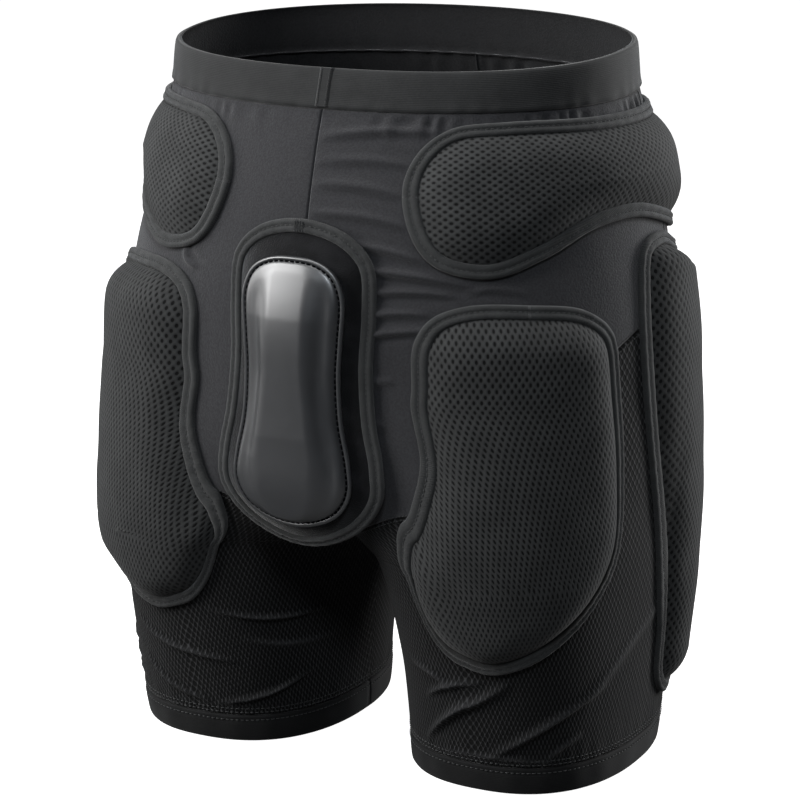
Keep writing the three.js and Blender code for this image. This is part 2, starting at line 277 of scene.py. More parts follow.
@dataclass(frozen=True)
class HoleMeshFinish(Finish):
    """Mesh cloth with staggered oval holes.

    across and along are the spacing of the holes, hole their half width and oval their
    height over their width. The yarn is thickest knot_at half widths from a hole; its colour
    goes from a painted shade beside the hole to a painted highlight on the knots, and the
    holes themselves are painted black as painted shade in the openings.
    """

    across: float = 3.9
    along: float = 6.8
    hole: float = 0.78
    oval: float = 1.75
    depth: float = 0.32
    # the next two scale the yarn's colour: painted shade beside a hole, painted highlight on the
    # knots
    shaded_bridge: float = 0.75
    knot: float = 1.2
    knot_at: float = 2.5
    sheen: float = 0.12

    def _to_hole(self, bench: ShaderBench, offset: float) -> bpy.types.NodeSocket:
        """Distance in half widths to the nearest hole of one of the two square lattices.

        Args:
            bench: bench the nodes go on.
            offset: shift of the lattice, in cells.

        Returns:
            The distance.
        """
        cells = bench.vector("MULTIPLY", bench.lay(), (1 / self.across, 1 / self.along, 0))
        cells = bench.vector("ADD", cells, (offset, offset, 0))
        middle = bench.vector("SUBTRACT", bench.vector("FRACTION", cells), (0.5, 0.5, 0))
        size = (self.across / self.hole, self.along / self.hole / self.oval, 0)
        return bench.length(bench.vector("MULTIPLY", middle, size))

    def mix(self, bench: ShaderBench) -> bpy.types.Material:
        """Wires the holes, painted black as painted shade, the yarn between them with painted
        highlights on its knots and on fold crests, and its mottling.

        Args:
            bench: fresh bench to wire on.

        Returns:
            The finished material.
        """
        near = bench.math("MINIMUM", self._to_hole(bench, 0.0), self._to_hole(bench, 0.5))
        pinch = bench.add("SeparateXYZ", {0: bench.lay()}).outputs["Z"]
        # solid is 0 in a hole; the colour below is multiplied by it, which paints the holes black
        # as painted shade in the openings
        solid = bench.math("MAXIMUM", bench.ramp(near, 0.8, 1.12), pinch)
        mottle = bench.ramp(bench.noise(70.0, 3.0), 0.3, 0.7, 0.88, 1.12)
        # the yarn's rise also sets its colour: painted shade beside a hole, painted highlight on
        # the knots
        yarn = bench.ramp(near, 0.9, self.knot_at, self.shaded_bridge, self.knot)
        raised = bench.math("MULTIPLY", yarn, 0.9)
        height = bench.math("ADD", raised, bench.math("MULTIPLY", solid, 0.6))
        fuzz = bench.bump(bench.noise(1500.0, 1.0), 0.1)
        # pinched fold crests close the holes and are painted lighter: a painted highlight along the
        # creases
        lit_yarn_and_crests = bench.math("ADD", yarn, bench.math("MULTIPLY", pinch, 1.1))
        # painted light: black holes as painted shade, lighter knots and crests as painted
        # highlight, over the random mottling
        light = bench.math("MULTIPLY", bench.math("MULTIPLY", lit_yarn_and_crests, mottle), solid)
        colour = bench.tint(bench.math("MULTIPLY", light, 0.33), self.shade(0.0), self.shade(3.0))
        return bench.finish(
            colour, bench.bump(height, self.depth, fuzz), 0.82,
            Sheen_Weight=self.sheen, Sheen_Roughness=0.5, Specular_IOR_Level=0.2,
        )


@dataclass(frozen=True)
class TwillFinish(Finish):
    """Tape and elastic: fine slanted or level ribs."""

    pitch: float = 1.3
    slant: float = 1.0
    depth: float = 0.16
    sheen: float = 0.25

    def mix(self, bench: ShaderBench) -> bpy.types.Material:
        """Wires the ribs.

        Args:
            bench: fresh bench to wire on.

        Returns:
            The finished material.
        """
        parts = bench.add("SeparateXYZ", {0: bench.lay()})
        slanted = bench.math("MULTIPLY", parts.outputs[0], self.slant)
        run = bench.math("ADD", slanted, parts.outputs[1])
        ribs = bench.math("SINE", bench.math("MULTIPLY", run, 2 * math.pi / self.pitch))
        grain = bench.noise(900.0, 2.0)
        mottle = bench.ramp(bench.halves(bench.noise(80.0, 3.0), grain), 0.3, 0.7)
        height = bench.math("ADD", bench.math("MULTIPLY", ribs, 0.5), grain)
        colour = bench.tint(mottle, self.shade(0.75), self.shade(1.25))
        return bench.finish(
            colour, bench.bump(height, self.depth), 0.8,
            Sheen_Weight=self.sheen, Sheen_Roughness=0.45, Specular_IOR_Level=0.3,
        )


@dataclass(frozen=True)
class PileFinish(Finish):
    """Short brushed pile that catches light at its edges."""

    def mix(self, bench: ShaderBench) -> bpy.types.Material:
        """Wires the pile.

        Args:
            bench: fresh bench to wire on.

        Returns:
            The finished material.
        """
        tufts = bench.noise(1100.0, 2.0)
        brushed = bench.noise(70.0, 2.0)
        height = bench.math("ADD", tufts, bench.math("MULTIPLY", brushed, 0.1))
        colour = bench.tint(bench.ramp(brushed, 0.35, 0.65), self.shade(0.7), self.shade(1.3))
        return bench.finish(
            colour, bench.bump(height, 0.45), 0.95,
            Sheen_Weight=0.5, Sheen_Roughness=0.4, Specular_IOR_Level=0.15,
        )


@dataclass(frozen=True)
class MouldedFinish(Finish):
    """Glossy moulded plastic with faint orange peel and fine handling marks."""

    def mix(self, bench: ShaderBench) -> bpy.types.Material:
        """Wires the plastic.

        Args:
            bench: fresh bench to wire on.

        Returns:
            The finished material.
        """
        peel = bench.noise(420.0, 1.0)
        marks = bench.noise(120.0, 5.0)
        colour = bench.tint(bench.ramp(marks, 0.3, 0.7), self.shade(0.95), self.shade(1.05))
        return bench.finish(
            colour, bench.bump(peel, 0.004), bench.ramp(marks, 0.35, 0.75, 0.37, 0.4),
            Specular_IOR_Level=1.0, Coat_Weight=1.0, Coat_IOR=1.75, Coat_Roughness=0.38,
        )


@dataclass(frozen=True)
class ThreadFinish(Finish):
    """Twisted polyester sewing thread."""

    sheen: float = 0.2
    specular: float = 0.4

    def mix(self, bench: ShaderBench) -> bpy.types.Material:
        """Wires the thread.

        Args:
            bench: fresh bench to wire on.

        Returns:
            The finished material.
        """
        twist = bench.noise(2500.0, 1.0)
        colour = bench.tint(twist, self.shade(0.8), self.shade(1.2))
        return bench.finish(
            colour, bench.bump(twist, 0.05), 0.6,
            Sheen_Weight=self.sheen, Specular_IOR_Level=self.specular,
        )


@dataclass(frozen=True)
class FloorFinish(Finish):
    """Plain pale studio floor that throws little light back up at the garment."""

    glow: float = 1.0

    def mix(self, bench: ShaderBench) -> bpy.types.Material:
        """Wires the floor.

        Args:
            bench: fresh bench to wire on.

        Returns:
            The finished material.
        """
        soft = bench.noise(3.0, 1.0)
        colour = bench.tint(soft, self.shade(0.995), self.shade(1.0))
        bench.finish(colour, bench.bump(soft, 0.01), 0.9, Specular_IOR_Level=0.1)
        bench.shader.inputs["Emission Color"].default_value = (1, 1, 1, 1)
        bench.shader.inputs["Emission Strength"].default_value = self.glow
        dull = bench.add("BsdfDiffuse", {"Color": (0.12, 0.12, 0.12, 1)})
        mix = bench.add("MixShader", {0: bench.add("LightPath").outputs["Is Camera Ray"]})
        bench.links.new(dull.outputs[0], mix.inputs[1])
        bench.links.new(bench.shader.outputs[0], mix.inputs[2])
        bench.links.new(mix.outputs[0], bench.nodes["Material Output"].inputs["Surface"])
        return bench.material


JERSEY = KnitFinish("charcoal_jersey_knit", (0.030, 0.0297, 0.0325))
# darker copy of the jersey knit for every inside face: painted shade inside the garment
SHADED_INSIDE_KNIT = KnitFinish("jersey_lining", (0.014, 0.014, 0.015), sheen=0.1)
BAND = TwillFinish("elastic_rib", (0.0175, 0.018, 0.0182), slant=0.0, pitch=1.2, depth=0.07)
TAPE = TwillFinish("binding_twill", (0.034, 0.035, 0.035))
# these mesh finishes paint their holes black and their knots light: painted shade and painted
# highlight
SPACER = HoleMeshFinish("spacer_mesh_cloth", (0.036, 0.0368, 0.0368))
SPACER_TURNED = HoleMeshFinish(
    "spacer_mesh_cut_across", SPACER.colour, across=5.6, along=4.3, hole=1.05, oval=0.8, knot_at=2.2
)
LEG_MESH = HoleMeshFinish(
    "leg_mesh_cloth", (0.024, 0.024, 0.025), across=4.8, along=6.9, hole=1.5, oval=1.4,
    depth=0.35, shaded_bridge=0.25, knot=1.7, knot_at=1.6, sheen=0.08,
)
HEM = TwillFinish("hem_rib", (0.006, 0.006, 0.0062), slant=0.0, pitch=1.2, depth=0.08, sheen=0.1)
PILE = PileFinish("brushed_pile", (0.009, 0.009, 0.010))
SHELL = MouldedFinish("moulded_gloss", (0.012, 0.0135, 0.0165))
THREAD = ThreadFinish("sewing_thread", (0.035, 0.036, 0.036))
# near-black thread: partly the stitching's own dark colour, partly painted shade, sewn wide and
# almost without gaps to stand in for the shade down in the shell's stitch groove
GROOVE_SHADE_THREAD = ThreadFinish("dark_thread", (0.0015, 0.0015, 0.002), sheen=0.0, specular=0.05)
FLOOR = FloorFinish("pale_floor", (0.9, 0.9, 0.9))


# ---------------------------------------------------------------- the filled-out body


@dataclass(frozen=True)
class BodyForm:
    """The garment's outer surface as if worn: a level section at every height, in two halves."""

    crotch: float = 150.0
    rise_top: float = 262.0
    inner_hem: float = 27.0
    height: float = 465.0
    waist_dip: float = 9.0
    dip_from: float = 370.0
    waist_depth: float = 105.0
    side_seam: float = 300.0
    back_square: float = 2.05
    # height, half width, front depth, back depth, squareness of the front
    stations: tuple[tuple[float, ...], ...] = (
        (0, 176, -101, 98, 2.4),
        (60, 181, -112, 109, 2.4),
        (120, 185, -124, 120, 2.4),
        (180, 187, -135, 129, 2.4),
        (240, 187, -141, 132, 2.4),
        (300, 184, -141, 132, 2.35),
        (360, 175, -134, 127, 2.1),
        (410, 164, -121, 117, 2.05),
        (438, 157, -112, 108, 2.15),
        (465, 154, -104, 104, 2.3),
    )

    def _along(self, z: Array, column: int) -> Array:
        """A smooth curve through one column of the stations.

        Args:
            z: heights.
            column: column of the stations.

        Returns:
            Its value at each height.
        """
        rows = np.array(self.stations, float)
        at, value = rows[:, 0], rows[:, column]
        number = np.arange(len(at))
        low, high = np.maximum(number - 1, 0), np.minimum(number + 1, len(at) - 1)
        slope = (value[high] - value[low]) / (at[high] - at[low])
        i = np.clip(np.searchsorted(at, z, side="right") - 1, 0, len(at) - 2)
        span = at[i + 1] - at[i]
        t = np.clip((z - at[i]) / span, 0, 1)
        return (
            (1 + 2 * t) * (1 - t) ** 2 * value[i]
            + t * (1 - t) ** 2 * span * slope[i]
            + t * t * (3 - 2 * t) * value[i + 1]
            + t * t * (t - 1) * span * slope[i + 1]
        )

    def _section(self, z: Array) -> tuple[Array, Array, Array, Array, Array]:
        """Centre x, half width, centre y, half depth and how far the legs are split.

        Args:
            z: heights.

        Returns:
            The five values at each height.
        """
        outer, front, back = (self._along(z, c) for c in (1, 2, 3))
        split = np.clip((self.rise_top - z) / (self.rise_top - self.crotch), 0, 1) ** 1.5
        low = np.clip(z, 0, self.crotch) / self.crotch
        inner = self.inner_hem * np.maximum(1 - low * low, 0) ** 0.6
        a = np.where(z >= self.crotch, outer / (1 + split), (outer - inner) / 2)
        return outer - a, a, (front + back) / 2, (back - front) / 2, split

    def point(self, turn: Array, z: Array) -> Array:
        """A point of the left half.

        Args:
            turn: radians round the section; 0 is the outer side, negative the front.
            z: height.

        Returns:
            The points, with x, y and z last.
        """
        x, a, y0, b, _ = self._section(z)
        e = 2 / np.where(turn < 0, self._along(z, 4), self.back_square)
        cos, sin = np.cos(turn), np.sin(turn)
        y = y0 + b * np.sign(sin) * np.abs(sin) ** e
        ease = np.clip((z - self.dip_from) / (self.height - self.dip_from), 0, 1) ** 2
        lifted = z + self.waist_dip * y / self.waist_depth * ease
        return np.stack([x + a * np.sign(cos) * np.abs(cos) ** e, y + CENTRE_Y, lifted], -1)

    def normal(self, turn: Array, z: Array) -> Array:
        """The outward direction at a point of the left half.

        Args:
            turn: radians round the section.
            z: heights.

        Returns:
            Unit vectors.
        """
        across = self.point(turn + 1e-3, z) - self.point(turn - 1e-3, z)
        up = self.point(turn, z + 0.5) - self.point(turn, z - 0.5)
        n = np.cross(across, up)
        return n / np.linalg.norm(n, axis=-1, keepdims=True)

    def lifted(self, turn: Array, z: Array, lift: Array | float) -> Array:
        """A point moved off the surface by lift."""
        turn, z, lift = np.broadcast_arrays(*(np.asarray(v, float) for v in (turn, z, lift)))
        return self.point(turn, z) + self.normal(turn, z) * lift[..., None]

    def last_turn(self, z: Array, front: Array) -> Array:
        """The turn at which the half section meets the middle of the garment.

        Args:
            z: heights.
            front: whether the front half is meant.

        Returns:
            Radians, always positive.
        """
        split = self._section(z)[4]
        e = np.where(front, self._along(z, 4), self.back_square) / 2
        return np.where(z <= self.crotch, math.pi, np.arccos(-np.clip(split, 0, 1) ** e))

    def turn(self, u: Array, z: Array) -> Array:
        """Turn for a share u of the way round: -1 middle front, 1 middle back."""
        return u * self.last_turn(z, u < 0)

    def leg_seam(self, u: Array) -> Array:
        """Height of the seam between the jersey and the perforated leg panel."""
        rise = self.side_seam - self.crotch
        return self.crotch + rise * np.maximum(np.cos(u * math.pi / 2), 0) ** 1.5


BODY = BodyForm()


@dataclass(frozen=True)
class Fold:
    """A crease that stands out of stretched cloth between two places.

    Each place is (turn in degrees, height); the crest is width wide and rise high, and the
    cloth beside it sinks by a share of that.
    """

    start: Flat
    end: Flat
    width: float
    rise: float
    sag: float = 0.3

    def _shape(self, turn: Array, z: Array) -> tuple[Array, Array]:
        """The crest and the sunk cloth beside it, each from 0 to 1.

        Args:
            turn: radians round the section.
            z: heights.

        Returns:
            Crest and trough.
        """
        scale = np.array([2.5, 1.0])
        a, b = np.array(self.start) * scale, np.array(self.end) * scale
        p = np.stack([np.degrees(turn), z], -1) * scale
        line = b - a
        reach = float(np.hypot(*line))
        t = ((p - a) @ line) / reach**2
        bow = 3.0 * np.sin(np.clip(t, 0, 1) * math.pi)
        off = ((p - a) @ np.array([-line[1], line[0]])) / reach - bow
        taper = np.clip(1 - (2 * t - 1) ** 2, 0, 1) ** 0.8
        crest = np.exp(-((off / self.width) ** 2))
        trough = np.exp(-(((off + 1.7 * self.width) / (1.2 * self.width)) ** 2))
        return taper * crest, taper * trough

    def relief(self, turn: Array, z: Array) -> Array:
        """Height of the crease over the cloth."""
        crest, trough = self._shape(turn, z)
        return self.rise * (crest - self.sag * trough)

    def pinch(self, turn: Array, z: Array) -> Array:
        """How far the cloth is folded over on itself, from 0 to 1 on the crest, where the mesh
        finish paints a highlight.
        """
        return self._shape(turn, z)[0] ** 1.5


FOLDS = {
    Side.LEFT: (
        Fold((-114, 28), (-72, 82), 3.0, 4.6, 0.15),
        Fold((-86, 24), (-28, 72), 3.0, 4.2, 0.15),
        Fold((-111, 60), (-84, 79), 2.4, 3.2, 0.1),
        Fold((-120, 84), (-94, 70), 2.4, 3.0, 0.1),
        Fold((-108, 24), (-50, 22), 1.8, 1.8, 0.1),
        Fold((-60, 22), (-40, 40), 2.6, 2.2, 0.1),
        Fold((-40, 60), (5, 110), 5.0, 1.6),
        Fold((-84, 294), (-66, 304), 2.2, 3.4, 0.5),
        Fold((-84, 307), (-66, 314), 2.2, 3.0, 0.5),
        Fold((-84, 322), (-60, 326), 2.2, 2.8, 0.5),
        Fold((-90, 339), (-56, 331), 2.4, 3.6, 0.5),
        Fold((-90, 355), (-64, 344), 2.4, 3.0, 0.5),
        Fold((-90, 371), (-67, 364), 2.6, 2.3),
        Fold((-90, 388), (-69, 383), 3.0, 2.0),
        Fold((-90, 402), (-67, 402), 3.0, 1.7),
        Fold((-90, 418), (-62, 424), 2.8, 2.4),
        Fold((-86, 262), (-74, 272), 2.6, 2.4),
        Fold((-90, 230), (-78, 246), 2.6, 2.4),
        Fold((-58, 328), (-44, 326), 2.0, 1.6),
    ),
    Side.RIGHT: (
        Fold((-60, 80), (-112, 60), 1.7, 3.4, 0.05),
        Fold((-98, 99), (-154, 92), 1.7, 3.6, 0.05),
        Fold((-62, 54), (-98, 28), 1.7, 3.2, 0.05),
        Fold((-98, 28), (-150, 50), 1.8, 3.6, 0.05),
        Fold((-112, 78), (-160, 70), 2.6, 1.6, 0.1),
        Fold((-30, 66), (-62, 60), 2.0, 1.2, 0.1),
        Fold((-30, 54), (-62, 46), 2.0, 1.2, 0.1),
        Fold((-30, 42), (-62, 34), 2.0, 1.2, 0.1),
        Fold((-60, 340), (-66, 328), 2.2, 2.8),
        Fold((-50, 100), (-20, 82), 3.4, 1.8),
    ),
}
BACK_FOLDS = (
    Fold((112, 160), (150, 142), 3.4, 2.8),
    Fold((100, 118), (150, 100), 3.6, 2.6),
    Fold((60, 60), (110, 80), 4.0, 2.4),
    Fold((20, 40), (70, 58), 3.4, 2.0),
    Fold((60, 338), (78, 346), 2.6, 1.8),
    Fold((70, 410), (58, 428), 2.6, 1.6),
)


def ripple(p: Array, size: float) -> Array:
    """Gentle unevenness between -1 and 1.

    Args:
        p: places in millimetres.
        size: size of the bumps.

    Returns:
        The unevenness.
    """
    x, y, z = (p[..., i] / size for i in range(3))
    return (
        np.sin(x * 1.3 + 1.7 * np.sin(z * 0.9 + 0.4))
        * np.cos(y * 1.1 + 1.3 * np.sin(x * 0.7 + 2.0))
        * np.sin(z * 1.2 + 1.1 * np.cos(y * 0.8))
    )


# ---------------------------------------------------------------- mesh work


def fasten(piece: bpy.types.Object, slot: str, *nodes: str) -> None:
    """Attaches a piece to the model.

    Args:
        piece: the piece.
        slot: what it is made of; not used.
        nodes: CAD nodes that it stands for.
    """
    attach(piece, "root")
    if nodes:
        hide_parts(*nodes)


@dataclass
class Cloth:
    """Points and faces of a piece while it is being cut and sewn."""

    points: Array
    faces: list[tuple[int, ...]]
    lay: Array
    inside: list[bool] = field(default_factory=list)

    def mirrored(self, side: Side) -> "Cloth":
        """The same piece for a side of the garment.

        Args:
            side: side of the garment.

        Returns:
            The piece itself, or its mirror image for the wearer's right.
        """
        if side is Side.LEFT:
            return self
        flipped = self.points * np.array([-1, 1, 1])
        return Cloth(flipped, [tuple(reversed(f)) for f in self.faces], self.lay, self.inside)

    def made(self, name: str, finish: Finish, inside_finish: Finish | None = None) -> bpy.types.Object:
        """Turns the piece into an object.

        Args:
            name: piece name.
            finish: finish of the outer faces.
            inside_finish: finish of the faces marked as inside.

        Returns:
            The new object, in the garment's frame.
        """
        mesh = bpy.data.meshes.new(name)
        mesh.from_pydata((self.points * MM).tolist(), [], self.faces)
        mesh.materials.append(finish.material())
        # inside faces get the darker finish: painted shade inside the piece
        if inside_finish:
            mesh.materials.append(inside_finish.material())
            mesh.polygons.foreach_set("material_index", np.array(self.inside, dtype=np.int32))
        mesh.polygons.foreach_set("use_smooth", np.ones(len(mesh.polygons), dtype=bool))
        layer = mesh.attributes.new(LAY, "FLOAT_VECTOR", "POINT")
        flat = np.concatenate([self.lay, np.zeros((len(self.lay), 3 - self.lay.shape[1]))], 1)
        layer.data.foreach_set("vector", flat.astype(np.float32).ravel())
        mesh.validate()
        mesh.update()
        piece = bpy.data.objects.new(name, mesh)
        bpy.context.scene.collection.objects.link(piece)
        return piece


def sewn_shell(outside: Array, inside: Array, lay: Array, wrap: bool = False) -> Cloth:
    """Closes the space between two grids of points.

    Args:
        outside: outer grid, columns by rows by 3.
        inside: inner grid of the same shape.
        lay: place of each grid point on the flat cloth, and how far it is pinched if it is.
        wrap: whether the last column joins the first.

    Returns:
        The closed piece; its inner faces are marked.
    """
    columns, rows = outside.shape[0], outside.shape[1]
    count = columns * rows
    number = np.arange(count).reshape(columns, rows)
    i = np.arange(columns if wrap else columns - 1)
    nxt = (i + 1) % columns
    a, b = number[i][:, :-1], number[nxt][:, :-1]
    c, d = number[nxt][:, 1:], number[i][:, 1:]
    outer = np.stack([a, b, c, d], -1).reshape(-1, 4)
    inner = np.stack([a, d, c, b], -1).reshape(-1, 4) + count
    edges = [(number[nxt, 0], number[i, 0]), (number[i, -1], number[nxt, -1])]
    if not wrap:
        first, last = number[0], number[-1]
        edges += [(first[:-1], first[1:]), (last[1:], last[:-1])]
    rims = [np.stack([p, q, q + count, p + count], -1) for p, q in edges]
    faces = np.concatenate([outer, inner, *rims])
    marks = [False] * len(outer) + [True] * len(inner) + [False] * sum(len(r) for r in rims)
    points = np.concatenate([outside.reshape(-1, 3), inside.reshape(-1, 3)])
    flat = lay.reshape(-1, lay.shape[-1])
    return Cloth(points, [tuple(f) for f in faces.tolist()], np.concatenate([flat, flat]), marks)


def run_of(path: Array) -> Array:
    """Distance along a row of points."""
    steps = np.linalg.norm(np.diff(path, axis=0), axis=1)
    return np.concatenate([[0.0], np.cumsum(steps)])


def along_run(table: Array, run: Array, where: Array) -> Array:
    """Rows of a table of points at given distances along the run."""
    return np.stack([np.interp(where, run, table[:, k]) for k in range(table.shape[1])], -1)


def respaced(path: Array, count: int, closed: bool) -> Array:
    """The same path with evenly spaced points.

    Args:
        path: points in order.
        count: how many points to give.
        closed: whether the path runs back into its start.

    Returns:
        The new points.
    """
    if closed:
        path = np.concatenate([path, path[:1]])
    run = run_of(path)
    at = np.linspace(0, run[-1], count + 1)[:-1] if closed else np.linspace(0, run[-1], count)
    return along_run(path, run, at)


STITCH_SIDES = 6
# share of the stitch's length, share of the thread's radius, height over the cloth
STITCH_RINGS = (
    (0.0, 0.35, -0.25), (0.12, 0.85, 0.12), (0.5, 1.0, 0.3), (0.88, 0.85, 0.12), (1.0, 0.35, -0.25)
)


@dataclass(frozen=True)
class Stitching:
    """A row of sewing stitches: short lengths of thread that dip into the cloth."""

    length: float = 2.3
    gap: float = 1.1
    radius: float = 0.34

    def along(self, path: Array, out: Array, closed: bool = False) -> Cloth:
        """Sews along a path.

        Args:
            path: points in space.
            out: outward direction at each of them.
            closed: whether the row runs back into its start.

        Returns:
            All the stitches as one piece.
        """
        if closed:
            path, out = np.concatenate([path, path[:1]]), np.concatenate([out, out[:1]])
        run = run_of(path)
        number = max(int(run[-1] / (self.length + self.gap)), 1)
        start = np.arange(number) * run[-1] / number
        rings = []
        ahead = along_run(path, run, start + self.length) - along_run(path, run, start)
        ahead /= np.maximum(np.linalg.norm(ahead, axis=1, keepdims=True), 1e-9)
        up = along_run(out, run, start)
        across = np.cross(ahead, up)
        across /= np.maximum(np.linalg.norm(across, axis=1, keepdims=True), 1e-9)
        for share, size, rise in STITCH_RINGS:
            middle = along_run(path, run, start + self.length * share) + up * rise
            for corner in np.arange(STITCH_SIDES) * 2 * math.pi / STITCH_SIDES:
                side = across * math.cos(corner) + up * math.sin(corner)
                rings.append(middle + side * self.radius * size)
        points = np.stack(rings, 1).reshape(-1, 3)
        each = len(rings)
        faces = []
        for ring in range(0, each - STITCH_SIDES, STITCH_SIDES):
            for k in range(STITCH_SIDES):
                a, b = ring + k, ring + (k + 1) % STITCH_SIDES
                faces.append((a, a + STITCH_SIDES, b + STITCH_SIDES, b))
        ends = range(STITCH_SIDES), range(each - 1, each - 1 - STITCH_SIDES, -1)
        faces += [tuple(end) for end in ends]
        every = [tuple(v + n * each for v in f) for n in range(number) for f in faces]
        return Cloth(points, every, np.zeros((len(points), 2)))


def joined(parts: Sequence[Cloth]) -> Cloth:
    """Several pieces as one.

    Args:
        parts: pieces of cloth.

    Returns:
        One piece with all their points and faces.
    """
    offsets = np.cumsum([0] + [len(p.points) for p in parts])
    faces = [tuple(v + int(o) for v in f) for p, o in zip(parts, offsets) for f in p.faces]
    marks = [m for p in parts for m in (p.inside or [False] * len(p.faces))]
    points, lay = (np.concatenate([getattr(p, n) for p in parts]) for n in ("points", "lay"))
    return Cloth(points, faces, lay, marks)


# ---------------------------------------------------------------- garment


@dataclass(frozen=True)
class PanelCut:
    """One panel between its seams.

    from_u and to_u are shares of the way round; low and high give its lower and upper edge.
    """

    from_u: float
    to_u: float
    low: Callable[[Array], Array]
    high: Callable[[Array], Array]
    columns: int
    rows: int
    thickness: float = 1.1
    right_grain: float = 0.0

    def shares(self) -> Array:
        """Shares of the way round, closer together beside the seams.

        Returns:
            Shares from one seam to the other.
        """
        close = np.array([0.0007, 0.0014, 0.0022, 0.0034])
        even = np.linspace(self.from_u, self.to_u, self.columns)
        return np.sort(np.concatenate([even, self.from_u + close, self.to_u - close]))


def level(z: float) -> Callable[[Array], Array]:
    """A panel edge that stays at one height."""
    return partial(np.full_like, fill_value=z)


# height and lift off the body, from the lower edge up
HEM_PROFILE = (
    (0, -0.9), (0.4, -0.1), (1.4, 0.5), (4, 0.7), (8, 0.8), (12, 0.9), (15.5, 0.6), (16.2, 0.2),
    (17, 0.6), (18.3, 0.5), (18.9, -0.2),
)
BAND_PROFILE = (
    (436.6, -0.6), (437, 0.9), (438, 1.5), (440, 1.55), (442, 1.45), (444.5, 1.5), (449, 1.6),
    (454, 1.6), (459, 1.5), (462.5, 1.3), (464.3, 0.8), (465, -0.3),
)


